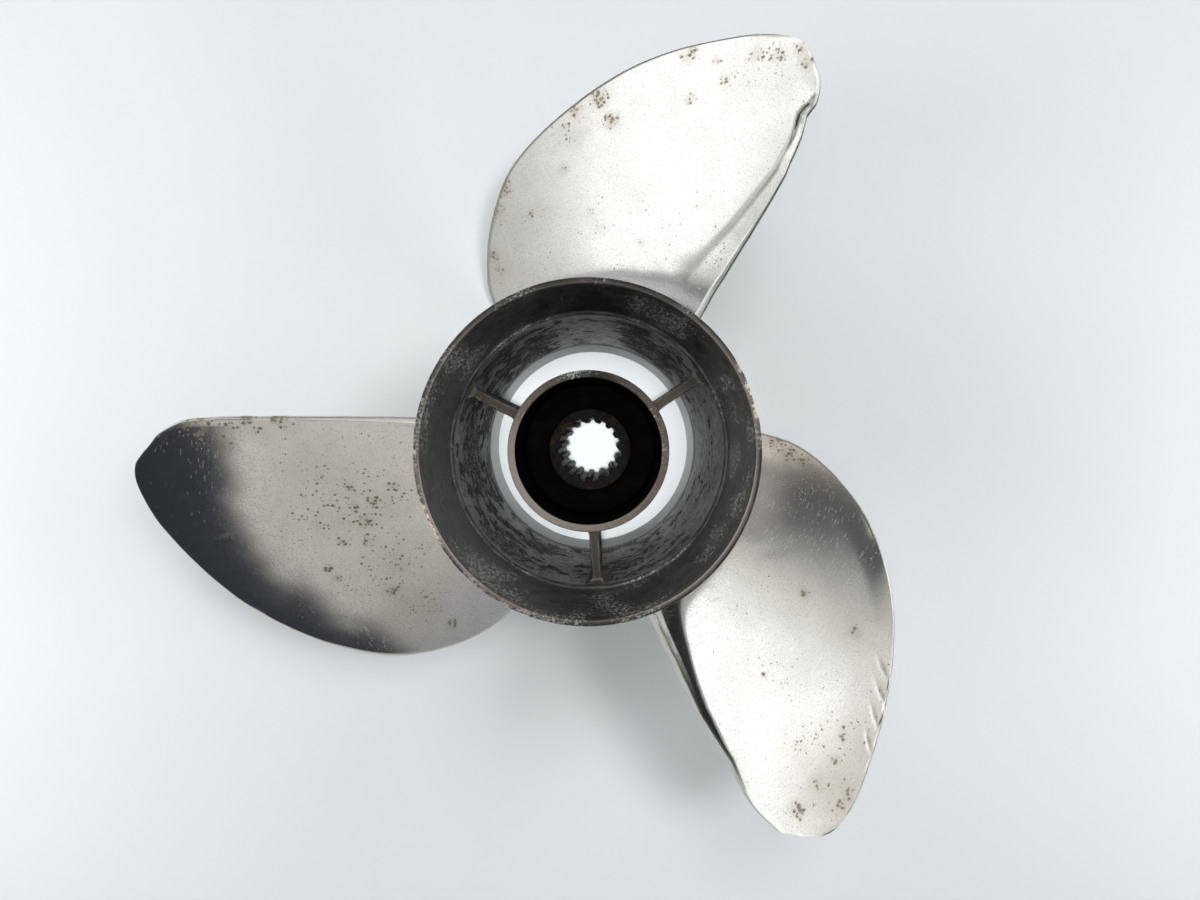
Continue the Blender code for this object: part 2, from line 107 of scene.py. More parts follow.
# The curled strip along each trailing edge, as (span share, width in millimetres, slope behind its
# crease, share of the width where the outer lip starts, slope of the lip, softness of the crease)
CURLS = (
    (
        (0, 15, 0, 0.3, 0, 0.9), (0.12, 14, 0.04, 0.3, 0.02, 0.9), (0.2, 13.3, 0.1, 0.25, 0.04, 0.8),
        (0.28, 11.5, 0.22, 0.25, 0.1, 0.5), (0.38, 8.8, 0.34, 0.3, 0.2, 0.32),
        (0.49, 6.9, 0.42, 0.35, 0.26, 0.22), (0.6, 4.8, 0.48, 0.45, 0.32, 0.15),
        (0.68, 3.9, 0.55, 0.5, 0.35, 0.12), (0.75, 3.8, 0.75, 0.5, 0.35, 0.12),
        (0.8, 3.5, 0.8, 0.6, 0.4, 0.12), (0.85, 1.6, 0.4, 0.6, 0.2, 0.12), (1, 1, 0, 0.6, 0, 0.12),
    ),
    (
        (0, 2.4, 0.06, 0.5, 0.1, 0.12), (0.5, 2.4, 0.1, 0.5, 0.2, 0.12), (0.8, 2.4, 0.04, 0.5, 0.04, 0.12),
        (1, 2.4, 0, 0.5, 0, 0.12),
    ),
    (
        (0, 9.5, 0.44, 0.75, 0.6, 0.22), (0.12, 9, 0.46, 0.75, 0.75, 0.24),
        (0.19, 7.6, 0.46, 0.7, 0.85, 0.28), (0.33, 5.5, 0.46, 0.52, 0.85, 0.28),
        (0.46, 4.7, 0.46, 0.52, 0.85, 0.25), (0.55, 4, 0.46, 0.7, 0.8, 0.18),
        (0.68, 3, 0.44, 0.65, 0.6, 0.15), (0.82, 2, 0.34, 0.6, 0.4, 0.12), (1, 1, 0.1, 0.6, 0.1, 0.12),
    ),
)

# How far each edge lies inside the common outline, as (share of its length from the root,
# millimetres) pairs: the blades are worn and filed unlike, and a few places stand proud of it
OUTLINE_SHIFTS = (
    {
        "leading": (
            (0, 0.2), (0.1, 0), (0.18, -0.5), (0.27, 1.1), (0.36, 1.4), (0.47, 1.2), (0.55, 2), (0.64, 2.6),
            (0.71, 2.3), (0.78, 1.6), (0.84, 0.6), (0.91, 0.8), (0.97, 0.3), (1, 0.6),
        ),
        "trailing": (
            (0, 1.6), (0.09, 1.9), (0.16, 2.2), (0.3, 1.2), (0.44, 0.4), (0.56, 0.1), (0.61, 0.5),
            (0.67, 1.5), (0.7, 2.3), (0.727, 2.8), (0.75, 1.9), (0.771, 0.8), (0.8, 0.4), (1, 0),
        ),
    },
    {
        "leading": (
            (0, 0.3), (0.25, 0), (0.55, 0), (0.61, -0.9), (0.68, -0.3), (0.81, -0.5), (0.87, -1.6),
            (0.94, -2), (1, -0.7),
        ),
        "trailing": (
            (0, 0.9), (0.09, 0.9), (0.32, 0.2), (0.44, 0), (0.59, -0.6), (0.7, -0.7), (0.78, -1.7),
            (0.81, -1.1), (0.84, -0.5), (0.9, 0.2), (1, 0),
        ),
    },
    {
        "leading": (
            (0, 0.3), (0.1, 0), (0.155, -0.2), (0.2, 0.7), (0.25, 0.9), (0.31, 1.8), (0.405, 3.2),
            (0.485, 4), (0.556, 2.6), (0.61, 1.7), (0.66, 2.2), (0.71, 3.8), (0.75, 4.5), (0.82, 4.3),
            (0.88, 3.1), (0.95, 1.6), (1, 0.8),
        ),
        "trailing": (
            (0, 2.4), (0.09, 2.5), (0.24, 1.3), (0.33, 0.2), (0.41, -0.7), (0.5, -0.2), (0.58, 0.2),
            (0.65, -0.8), (0.72, -1.6), (0.79, -1.5), (0.84, -1.9), (0.9, -1.6), (0.94, -0.5), (1, 0.4),
        ),
    },
)

# Long dents hammered into each blade's face, as (span share, sweep share, half length and half
# width in millimetres, depth in millimetres, direction off the chord in degrees)
DENTS = (
    ((0.7, 0.3, 8, 3, 0.12, 20), (0.3, 0.5, 14, 4, 0.15, 40)),
    ((0.93, 0.3, 5, 0.5, 0.06, 84), (0.82, 0.33, 4, 0.5, 0.05, 86)),
    (
        (0.806, 0.462, 3.6, 0.7, 0.3, -62), (0.838, 0.42, 3.8, 0.8, 0.34, -62),
        (0.862, 0.377, 3.6, 0.7, 0.28, -58), (0.889, 0.335, 3, 0.7, 0.28, -55),
        (0.3, 0.56, 9, 2.5, 0.15, 60),
    ),
)

# How many pits and scattered rust specks each blade has, as (span share, amount)
PITTING = (
    ((0, 1), (0.35, 0.9), (0.6, 0.6), (1, 0.5)),
    ((0, 0.8), (0.58, 0.8), (0.7, 0.1), (1, 0.05)),
    ((0, 0.6), (0.45, 0.7), (0.75, 0.9), (1, 1)),
)

# Rust on each blade's aft face, as (span share, sweep share, radius in millimetres, strength)
RUST_PATCHES = (
    (
        (0.766, 0.528, 5.2, 1), (0.687, 0.498, 4.4, 1), (0.744, 0.584, 4, 1), (0.699, 0.608, 2.2, 0.9),
        (0.581, 0.798, 4.8, 1), (0.528, 0.832, 4, 0.9), (0.392, 0.91, 3.6, 0.9), (0.347, 0.918, 3.4, 0.9),
        (0.893, 0.358, 4.5, 0.9), (0.877, 0.307, 2.4, 0.9), (0.917, 0.241, 4, 0.9),
        (0.928, 0.206, 4.5, 0.8), (0.964, 0.172, 4, 0.9), (0.935, 0.155, 3.6, 0.9), (0.82, 0.278, 2.4, 0.9),
        (0.748, 0.334, 2.8, 0.9), (0.561, 0.621, 2.8, 0.7), (0.452, 0.742, 2.4, 0.7),
        (0.274, 0.362, 2.8, 0.7), (0.393, 0.549, 2.2, 0.5), (0.875, 0.226, 16, 0.4),
        (0.691, 0.601, 11, 0.42), (0.514, 0.841, 9, 0.45), (0.347, 0.921, 8, 0.45), (0.419, 0.399, 9, 0.22),
        (0.121, 0.51, 11, 0.25), (0.445, 0.792, 12, 0.22),
    ),
    (
        (0.519, 0.067, 4.3, 1), (0.617, 0.071, 5, 1), (0.774, 0.097, 7, 0.8), (0.706, 0.125, 6, 0.5),
        (0.887, 0.125, 4, 0.4), (0.223, 0.29, 3.4, 0.9), (0.357, 0.267, 3.4, 0.9), (0.371, 0.326, 3.4, 0.9),
        (0.309, 0.324, 4, 0.9), (0.364, 0.383, 4.5, 0.9), (0.391, 0.448, 4.5, 0.9), (0.47, 0.42, 3.4, 0.9),
        (0.506, 0.354, 3, 0.8), (0.712, 0.344, 3, 0.4), (0.559, 0.511, 2.6, 0.9), (0.451, 0.623, 3.6, 1),
        (0.427, 0.835, 3.4, 0.9), (0.561, 0.476, 2.4, 0.9), (0.385, 0.308, 30, 0.48),
        (0.387, 0.534, 22, 0.46), (0.425, 0.701, 16, 0.4), (0.219, 0.31, 12, 0.42), (0.56, 0.36, 18, 0.28),
        (0.5, 0.082, 7, 0.35), (0.59, 0.09, 8, 0.45), (0.68, 0.1, 8, 0.45), (0.77, 0.11, 9, 0.45),
    ),
    (
        (0.339, 0.929, 6.6, 0.8), (0.425, 0.863, 5, 0.7), (0.391, 0.895, 5.2, 0.8),
        (0.478, 0.806, 3.8, 0.6), (0.292, 0.978, 6, 0.8), (0.46, 0.495, 2.8, 0.8), (0.675, 0.489, 3.2, 0.8),
        (0.493, 0.255, 2, 0.9), (0.809, 0.306, 3.8, 0.8), (0.861, 0.153, 4.5, 0.8), (0.94, 0.242, 3.8, 0.9),
        (0.949, 0.225, 3.4, 0.9), (0.84, 0.264, 3.4, 0.9), (0.85, 0.209, 4.5, 0.8),
        (0.718, 0.222, 3.2, 0.6), (0.294, 0.296, 10, 0.28), (0.897, 0.22, 14, 0.42),
        (0.794, 0.278, 14, 0.38), (0.72, 0.228, 12, 0.32), (0.488, 0.28, 16, 0.22), (0.847, 0.322, 9, 0.45),
    ),
)

# Damage along each blade's edges, as (edge, share of its length from the root, reach along it, bite
# into the blade, lift of the edge and width of the lifted strip, all in millimetres)
EDGE_DAMAGE = (
    (
        ("trailing", 0.8, 9, 0, 0.9, 9), ("trailing", 0.7, 6, 0, 0.5, 5),
        ("trailing", 0.6, 5, 0.2, -0.4, 4), ("leading", 0.97, 8, 0.2, -0.3, 7),
    ),
    (
        ("leading", 0.93, 5, 0.4, 0.1, 4), ("leading", 0.86, 4, 0.3, 0.1, 4),
        ("leading", 0.73, 5, 0.3, -0.1, 4), ("trailing", 0.55, 6, 0.3, 0.2, 4),
    ),
    (
        ("leading", 0.5, 24, 0, 1.3, 17), ("leading", 0.76, 2.4, 0.3, 0.4, 3),
        ("leading", 0.79, 2.6, 0.3, -0.4, 4), ("leading", 0.815, 2.4, 0.2, 0.4, 4),
        ("leading", 0.85, 3, 0.3, -0.3, 4), ("leading", 0.97, 2.5, 0.6, 0.2, 4),
        ("trailing", 0.975, 3, 0.5, 0.2, 4), ("leading", 0.89, 3, 0.3, -0.2, 4),
    ),
)

# How far each blade stands from its even place round the hub, in degrees
BLADE_TURNS = (0, 0, -0.5)

# How far each leading edge is filed down over its last millimetre, as (share of its length,
# millimetres)
LEADING_BEVELS = (
    ((0, 0), (1, 0)),
    ((0, 0.1), (0.85, 0.2), (1, 0)),
    ((0, 0), (0.36, 0), (0.45, 0.3), (0.93, 0.4), (1, 0.2)),
)

# How far each blade's tip is worn down, in millimetres
TIP_WEAR = (1.2, 1.1, 1.6)

# Darker steel and bright rubbed steel along each leading edge, as (share of its length, amount)
LEADING_DARKENING = (
    ((0, 0.45), (0.3, 0.6), (0.68, 0.95), (0.98, 0.95), (1, 0.6)),
    ((0, 0), (1, 0)),
    ((0, 0.5), (0.4, 0.3), (0.5, 0), (1, 0)),
)
LEADING_SHINE = (
    ((0, 0.2), (0.6, 0.1), (1, 0)),
    ((0, 0.6), (0.85, 0.9), (1, 0.3)),
    ((0, 0.2), (0.4, 0.3), (0.5, 0.8), (0.9, 1), (1, 0.5)),
)

# How much dark colour, partly grime and partly painted shade, lies in each curl's crease, and how wide the
# darker steel along the leading edge is in millimetres
CREASE_GRIME_AND_SHADE = (0.4, 0, 0)
LEADING_DARKENING_WIDTHS = (1.4, 0.9, 0.9)

# Round the hub, from +X towards +Y in degrees: how much soot and painted shade lie on the mouth
# and on the channel wall, how strong the painted highlight on the lip's worn inner edge is, and
# how much of the turned band at the front is painted light, the rest being painted shade
MOUTH_SOOT_AND_SHADE = (
    (0, 0.1), (45, 0.78), (90, 0.92), (135, 0.6), (180, 0.35), (225, 0.02), (270, 0.7), (315, 0.52),
    (360, 0.1),
)
CHANNEL_SOOT_AND_SHADE = (
    (0, 0), (30, 0.25), (50, 0.9), (68, 0.9), (84, 0.15), (100, 0.15), (115, 0.8), (142, 0.9), (158, 0.6),
    (175, 0.5), (200, 0.55), (225, 0.6), (250, 0.45), (280, 0.4), (300, 0.3), (335, 0), (360, 0),
)
LIP_EDGE_HIGHLIGHT = (
    (0, 0.55), (45, 0.5), (60, 0.15), (125, 0.2), (140, 0.5), (180, 0.45), (200, 1), (230, 0.9), (250, 0.5),
    (262, 0.15), (285, 0.3), (300, 0.7), (345, 0.9), (360, 0.55),
)
BAND_PAINTED_LIGHT = (
    (0, 1), (60, 0.45), (90, 0.15), (120, 0.45), (180, 1), (240, 0.3), (300, 0.05), (345, 0.8), (360, 1),
)

# How much painted light and shade lies on the rim of the inner tube, in the same way
RIM_PAINTED_LIGHT = (
    (0, 0.75), (45, 0.4), (90, 0), (135, 0.7), (180, 1.3), (220, 1.4), (270, 1.15), (315, 0.85),
    (360, 0.75),
)

# Where the lip is chipped, as (middle and half width in degrees, reach in half widths, share)
CHIPPED_SIDES = ((193, 17, 1.6, 1), (17, 12, 1.5, 1), (238, 24, 1.5, 0.45))


def linear(hex_colour):
    """An sRGB hex colour as linear red, green, blue and alpha."""
    shares = [int(hex_colour[start : start + 2], 16) / 255 for start in (0, 2, 4)]
    return (*(v / 12.92 if v <= 0.04045 else ((v + 0.055) / 1.055) ** 2.4 for v in shares), 1.0)


def length(name, millimetres, description):
    """A length property whose default is given in millimetres."""
    return bpy.props.FloatProperty(
        name=name, description=description, default=millimetres * MM, min=0.0, precision=5,
        subtype="DISTANCE", unit="LENGTH",
    )


def rotation(name, degrees, description):
    return bpy.props.FloatProperty(
        name=name, description=description, default=math.radians(degrees), subtype="ANGLE",
        unit="ROTATION",
    )


def colour(name, hex_colour, description):
    return bpy.props.FloatVectorProperty(
        name=name, description=description, default=linear(hex_colour)[:3], min=0.0, max=1.0,
        size=3, subtype="COLOR",
    )


class HubSizes(bpy.types.PropertyGroup):
    """Sizes of the barrel, the tube inside it and the webs between them"""

    lip_width: length("Lip width", 2.1, "Width of the flat aft lip")
    lip_bevel: length("Lip bevel", 0.5, "Worn bevel on the outer edge of the lip")
    lip_round: length("Lip rounding", 0.35, "Rounding on the inner edge of the lip")
    flare: length("Flare length", 24.0, "Length of the flare behind the aft lip")
    barrel_aft: length("Aft barrel radius", 55.6, "Outer radius of the barrel at the flare")
    barrel_front: length("Front barrel radius", 50.8, "Outer radius of the barrel at its front")
    mouth: length("Mouth depth", 30.0, "Depth of the smooth mouth")
    mouth_wall: length("Mouth wall", 3.1, "Wall of the barrel at the end of the mouth")
    groove: length("Groove", 0.35, "Depth of the groove at the end of the mouth")
    ridge: length("Ridge depth", 33.0, "Depth at which the ridge goes over into the channel")
    ridge_wall: length("Ridge wall", 4.0, "Wall of the barrel at the ridge")
    channel_wall: length("Channel wall", 4.2, "Wall of the barrel at the front of the channel")
    front_band: length("Front band", 24.0, "Length of the turned band at the front")
    band_step: length("Band step", 0.3, "Step between the channel and the front band")
    front_wall: length("Front wall", 4.7, "Wall of the barrel at its front face")
    front_chamfer: length("Front chamfer", 0.8, "Chamfer on the front face")
    tube_wall: length("Tube wall", 2.7, "Wall of the inner tube")
    tube_chamfer: length("Tube chamfer", 0.4, "Chamfer on the ends of the inner tube")
    web_thickness: length("Web thickness", 3.8, "Thickness of the webs")
    web_slope: length("Web slope", 13.0, "How much deeper a web's aft edge lies at the barrel")
    web_fillet: length("Web fillet", 2.6, "Fillets where a web runs into tube and barrel")
    web_angle: rotation("Web angle", 33.5, "Angle of the first web about the shaft")


class SleeveSizes(bpy.types.PropertyGroup):
    """Sizes of the splined sleeve and of the rubber round it"""

    major: length("Groove radius", 12.7, "Radius at the bottom of the spline grooves")
    minor: length("Land radius", 11.25, "Radius over the spline lands")
    chamfer: length("Sleeve chamfer", 0.6, "Chamfer on the ends of the sleeve")
    phase: rotation("Spline phase", 88.0, "Angle of the first spline groove")
    splines: bpy.props.IntProperty(
        name="Splines", description="Number of spline grooves in the bore", default=15, min=3,
    )
    rubber_crown: length("Rubber crown", 2.0, "Rounding of the rubber's outer edges")
    rubber_bulge: length("Rubber bulge", 1.2, "How far the rubber swells round the sleeve")


class BladeSizes(bpy.types.PropertyGroup):
    """Sizes of a blade, which is a screw surface with a curled trailing edge"""

    tip_radius: length("Tip radius", 177.6, "Radius of the blade tips")
    pitch: length("Pitch", 483.0, "Advance of the blade's face in one turn")
    trailing_root: length("Trailing root", 30.03, "Depth of the trailing edge at the barrel")
    leading_root: length("Leading root", 130.42, "Depth of the leading edge at the barrel")
    rake: length("Rake", 9.6, "How far the tips lean aft")
    root_thickness: length("Root thickness", 8.5, "Thickness of the blade at the barrel")
    tip_thickness: length("Tip thickness", 2.4, "Thickness of the blade near its tip")
    leading_edge: length("Leading edge", 1.0, "Thickness of the leading edge")
    trailing_root_edge: length("Trailing edge at the root", 3.2, "Its thickness at the barrel")
    trailing_tip_edge: length("Trailing edge at the tip", 1.9, "Its thickness at the tip")
    fillet: length("Root fillet", 5.2, "Height of the fillet between blade and barrel")
    swell: length("Root swell", 3.6, "Width of the fillet between blade and barrel")
    sink: length("Root sink", 0.5, "How far the fillet's foot lies under the barrel's surface")
    tip_angle: rotation("Tip angle", 64.2, "Angle of the first blade's tip about the shaft")


class FinishColours(bpy.types.PropertyGroup):
    """Colours of the metals, the rubber, the rust and the floor"""

    steel: colour("Steel", "D6D6D3", "Polished stainless steel")
    tarnish: colour("Tarnish", "C0C0BD", "Steel under a thin film of tarnish")
    grain: colour("Grain", "ABABA6", "Fine dark grain of the satin finish")
    stain: colour("Stain", "979080", "Olive-brown rust specks")
    stain_core: colour("Stain core", "6E6655", "Dark middle of a rust speck")
    pit: colour("Pit", "58544C", "Floor of a corrosion pit")
    soot: colour("Soot", "6D706E", "Thin exhaust soot burnt onto the casting")
    # The deep soot colour also carries painted shade inside the hub
    soot_deep: colour("Deep soot", "141414", "Thick, dead black soot")
    rubbed: colour("Rubbed casting", "A9AAA5", "Casting that shows through rubbed soot")
    turned: colour("Turned band", "B2B6B3", "Turned metal at the front of the channel")
    ash: colour("Ash", "A7A9A6", "Pale ash and salt specks in the soot")
    bare: colour("Worn rim", "62574F", "Brown-grey metal of the worn rims")
    # The edge colour is a painted highlight on the tube's rim and the webs' crest corners, and worn bright
    # metal under a painted highlight on the lip's inner edge
    edge: colour("Worn edge", "9A958F", "Bright metal along the sharpest edges")
    chip: colour("Chip", "CDBBAA", "Pinkish cream scale on the chipped lip")
    rubber: colour("Rubber", "020202", "Black rubber")
    rust: colour("Rust", "0A0705", "Dark rust on the sleeve")
    rust_bright: colour("Bright rust", "2B1B13", "Orange rust in the pits of the sleeve")
    floor: colour("Floor", "DADEE0", "Pale studio floor")
    floor_tooth: colour("Floor tooth", "FFFFFF", "Raised grain of the floor's paper")


def height(depth):
    return LIP_HEIGHT - depth


def mix(start, end, share):
    return start + (end - start) * share


def unit(values):
    return np.clip(values, 0.0, 1.0)


def read(table, at):
    """Values at these places from a table of (place, value) pairs."""
    return np.interp(at, *zip(*table))


def smooth(values):
    """Zero below 0, one above 1 and an even curve between."""
    part = unit(values)
    return part * part * (3.0 - 2.0 * part)


def barrel_radius(hub, depth):
    """Outer radius of the barrel, with the flare at its aft end."""
    share = (depth - hub.flare) / (HUB_LENGTH - hub.flare)
    plain = mix(hub.barrel_aft, hub.barrel_front, share)
    left = unit(1.0 - depth / hub.flare)
    flared = hub.barrel_aft + (HUB_HIGH.x - hub.barrel_aft) * left**1.85
    return np.where(depth < hub.flare, flared, plain)


def channel_radius(hub, depth):
    """Inner radius of the barrel between the ridge and the front band."""
    front = HUB_LENGTH - hub.front_band
    share = (depth - hub.ridge) / (front - hub.ridge)
    aft_radius = barrel_radius(hub, hub.ridge) - hub.ridge_wall
    return mix(aft_radius, barrel_radius(hub, front) - hub.channel_wall, share)


def lumps(points, size, seed):
    """Smooth noise from about -1 to 1 at each point, with lumps of this size."""
    shift = Vector((seed * 13.1, seed * 7.7, seed * 3.3))
    return np.array([noise.noise(Vector(point) / size + shift) for point in points.tolist()])


def grid_faces(rows, columns, wrap_rows=False):
    """Quads over a grid of points numbered row by row, whose columns close into rings."""
    row, column = np.meshgrid(
        np.arange(rows if wrap_rows else rows - 1), np.arange(columns), indexing="ij"
    )
    next_row, next_column = (row + 1) % rows, (column + 1) % columns
    corners = (
        row * columns + column, row * columns + next_column,
        next_row * columns + next_column, next_row * columns + column,
    )
    return np.stack(corners, axis=-1).reshape(-1, 4)


def new_piece(name, points, faces, materials, node, shares=None, brush=None, sharp=40.0):
    """A smooth-shaded mesh that rides on the propeller and stands for one of its solids.

    shares are numbers at the points, by name, each an array or one for all, and brush is the
    place of each point along and across the polishing marks, in metres.
    """
    data = bpy.data.meshes.new(name)
    data.from_pydata(points.tolist(), [], [list(face) for face in faces])
    for material in materials:
        data.materials.append(material)
    for share_name, values in (shares or {}).items():
        layer = data.attributes.new(share_name, "FLOAT", "POINT")
        layer.data.foreach_set("value", np.full(len(points), values, dtype=np.float32))
    if brush is not None:
        corners = np.zeros(len(data.loops), dtype=np.int32)
        data.loops.foreach_get("vertex_index", corners)
        layer = data.uv_layers.new(name="brush")
        layer.data.foreach_set("uv", np.asarray(brush, dtype=np.float32)[corners].ravel())
    data.shade_smooth()
    data.set_sharp_from_angle(angle=math.radians(sharp))
    piece = bpy.data.objects.new(name, data)
    bpy.context.scene.collection.objects.link(piece)
    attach(piece, BODY)
    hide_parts(node)
    return piece


def run(start, end, step):
    """Points from start towards end, without the end, in steps of at most this length."""
    count = max(1, math.ceil(math.dist(start, end) / step))
    return [tuple(mix(a, b, index / count) for a, b in zip(start, end)) for index in range(count)]


def rounded_run(corners, step):
    """A closed profile through (radius, depth, rounding) corners, as short straight pieces."""
    path = []
    for before, corner, after in zip([corners[-1], *corners], corners, [*corners[1:], corners[0]]):
        here = Vector(corner[:2])
        back, ahead = Vector(before[:2]) - here, Vector(after[:2]) - here
        reach = min(corner[2], back.length * 0.45, ahead.length * 0.45)
        start, end = here + back.normalized() * reach, here + ahead.normalized() * reach
        if reach <= 0.0:
            path.append(tuple(here))
            continue
        for index in range(5):
            t = index / 4
            path.append(tuple(start.lerp(here, t).lerp(here.lerp(end, t), t)))
    return [point for start, end in zip(path, [*path[1:], path[0]]) for point in run(start, end, step)]


def turned_body(corners, step, segments):
    """A closed profile turned round the shaft: its points row by row, its faces, and each point's
    angle, radius and depth.
    """
    profile = rounded_run(corners, step)
    angles = np.tile(np.arange(segments) * (math.tau / segments), len(profile))
    radius, depth = np.repeat(np.array(profile), segments, axis=0).T
    points = np.stack((radius * np.cos(angles), radius * np.sin(angles), height(depth)), axis=-1)
    return points, grid_faces(len(profile), segments, wrap_rows=True), angles, radius, depth


def second_finish(piece, where):
    """Gives these faces of a piece its second material."""
    piece.data.polygons.foreach_set("material_index", where.astype(np.int32))


# Materials


def add_node(tree, kind, inputs=(), **settings):
    """Adds a node with its settings and its inputs, by name or in order.

    An input is a value, or the node or socket that feeds it.
    """
    node = tree.nodes.new("ShaderNode" + kind)
    for key, value in settings.items():
        setattr(node, key, value)
    for key, value in inputs.items() if isinstance(inputs, dict) else enumerate(inputs):
        if isinstance(key, int):
            socket = node.inputs[key]
        else:
            socket = next(entry for entry in node.inputs if entry.enabled and entry.name == key)
        if isinstance(value, bpy.types.Node):
            value = next(entry for entry in value.outputs if entry.enabled)
        if isinstance(value, bpy.types.NodeSocket):
            tree.links.new(value, socket)
        else:
            socket.default_value = value
    return node


def finish(name):
    """Turns a function that adds nodes into one that gives the material of this name."""
    def named(build):
        @functools.wraps(build)
        def material():
            made = bpy.data.materials.get(name)
            if made is None:
                made = bpy.data.materials.new(name)
                made.use_nodes = True
                made.node_tree.nodes.clear()
                build(functools.partial(add_node, made.node_tree))
            return made
        return material
    return named


def per_metre(millimetres):
    """Noise scale that gives a pattern of this size."""
    return 1000.0 / millimetres


def layered(node, ground, layers, relief, fixed):
    """Ends a material: layers of (mask, colour, metallic, roughness) laid over its ground.

    The relief is in millimetres, and fixed holds values that are the same all over.
    """
    base, metal, dull = paint(ground[0]), *ground[1:]
    for mask, over, metal_over, dull_over in layers:
        base = node("Mix", {"Factor": mask, "A": base, "B": paint(over)}, data_type="RGBA")
        metal = node("Mix", {"Factor": mask, "A": metal, "B": metal_over}, data_type="FLOAT")
        dull = node("Mix", {"Factor": mask, "A": dull, "B": dull_over}, data_type="FLOAT")
    bump = node("Bump", {"Strength": 1.0, "Distance": MM, "Height": relief})
    shader = node("BsdfPrincipled", {
        "Base Color": base, "Metallic": metal, "Roughness": dull, "Normal": bump, **fixed})
    node("OutputMaterial", {"Surface": shader})


def paint(name):
    """A colour from the sidebar, with full alpha."""
    return (*getattr(bpy.context.scene.propeller_colours, name), 1.0)


@finish("belt_polished_stainless_steel")
def polished_stainless(node):
    """Cast stainless steel, belt-polished and then worn.

    It gives a soft mirror drawn out along the chord by polishing marks and clouded by a thin
    tarnish, with dark corrosion pits under a millimetre wide and clusters of olive rust specks.
    """
    place = node("TexCoord").outputs["Object"]
    brush = node("UVMap", uv_map="brush")
    stain, scuff, rubbed, grime_and_shade, pitting = (
        node("Attribute", attribute_name=key).outputs["Fac"]
        for key in ("stain", "scuff", "rubbed", "grime_and_shade", "pitting"))

    # Clouds of tarnish some 20 mm across, a mottle of 0.7 mm that gives the satin look, and for the
    # pits a raggedness of 0.8 mm and crowds of 14 mm
    cloud, mottle, torn, crowd = (
        node("TexNoise", {"Vector": place, "Scale": per_metre(size), "Detail": detail, "Roughness": rough})
        for size, detail, rough in ((20, 6, 0.6), (0.7, 3, 0.75), (0.8, 2, 0.5), (14, 3, 0.5)))
    cloud = node("MapRange", (cloud, 0.42, 0.68, 0.0, 0.5))
    grain = node("MapRange", (mottle, 0.5, 0.7, 0.0, 0.8))

    # Polishing marks 12 mm long and 0.5 mm apart, coarser than real ones so that they show
    along = node("VectorMath", (brush, (per_metre(12), per_metre(0.5), 0.0)), operation="MULTIPLY")
    marks = node("TexNoise", {"Vector": along, "Scale": 1.0, "Detail": 2.0, "Roughness": 0.6})
    streak = node("MapRange", (marks, 0.5, 0.76, 0.0, 0.45))

    # Sparse scratches 6 mm long, a little off the direction of the polishing marks
    turned = node("Mapping", {"Vector": brush, "Rotation": (0.0, 0.0, math.radians(14))})
    turned = node("VectorMath", (turned, (per_metre(6), per_metre(0.35), 0.0)), operation="MULTIPLY")
    scratch = node("TexNoise", {"Vector": turned, "Scale": 1.0, "Detail": 1.0})
    scratch = node("MapRange", (scratch, 0.68, 0.73))

    # Pits up to 0.9 mm wide in ragged cells of 1.3 mm, crowded in some places
    torn = node("VectorMath", (torn.outputs["Color"], [1.1 * MM] * 3, place), operation="MULTIPLY_ADD")
    cells = node("TexVoronoi", {"Vector": torn, "Scale": per_metre(1.3)})
    chance = node("SeparateColor", (cells.outputs["Color"],))
    crowd = node("MapRange", (crowd, 0.42, 0.72, 0.1, 0.55))
    crowd = node("Math", (crowd, pitting), operation="MULTIPLY")
    excess = node("Math", (crowd, chance), operation="SUBTRACT")
    excess = node("MapRange", (excess, -0.1, 0.3, -0.1, 0.3))
    pit = node("Math", (excess, cells.outputs["Distance"]), operation="SUBTRACT")
    pit = node("MapRange", (pit, -0.06, 0.1, 0.0, 0.8))

    # Rust dots in cells of 1.5 mm, as many and as wide as the stain asks for until they run
    # together, and blots twice as wide where it is strong
    specks = []
    for cell, channel, least in ((1.5, "Green", 0.0), (3.0, "Blue", 0.35)):
        dots = node("TexVoronoi", {"Vector": torn, "Scale": per_metre(cell)})
        luck = node("SeparateColor", (dots.outputs["Color"],)).outputs[channel]
        excess = node("Math", (stain, luck), operation="SUBTRACT")
        excess = node("MapRange", (excess, least - 0.1, least + 0.5, -0.13, 0.62))
        specks.append(node("Math", (excess, dots.outputs["Distance"]), operation="SUBTRACT"))
    rust = node("Math", (specks[0], specks[1]), operation="MAXIMUM")
    dot = node("MapRange", (rust, -0.08, 0.08, 0.0, 0.78))
    core = node("MapRange", (rust, 0.1, 0.22, 0.0, 0.7))
    tinge = node("Math", (stain, 0.42), operation="MULTIPLY")

    shine = node("MapRange", (mottle, 0.3, 0.7, 0.06, 0.12))
    shine = node("Math", (scuff, 0.12, shine), operation="MULTIPLY_ADD")
    relief = node("Math", (marks, 0.0025), operation="MULTIPLY")
    for part, rise in ((mottle, 0.003), (scratch, -0.012), (pit, -0.06)):
        relief = node("Math", (part, rise, relief), operation="MULTIPLY_ADD")
    layered(node, ("steel", 1.0, shine), (
        (cloud, "tarnish", 1.0, 0.13),
        (grain, "grain", 1.0, 0.19),
        (streak, "tarnish", 1.0, 0.15),
        (rubbed, "steel", 1.0, 0.34),
        (tinge, "stain", 0.95, 0.22),
        # Darker steel along the leading edge, grime and painted shade in the crease, and painted shade in
        # the deep grooves
        (grime_and_shade, "pit", 0.6, 0.50),
        (pit, "pit", 0.6, 0.45),
        (dot, "stain", 0.80, 0.40),
        (core, "stain_core", 0.6, 0.50),
    ), relief, {})


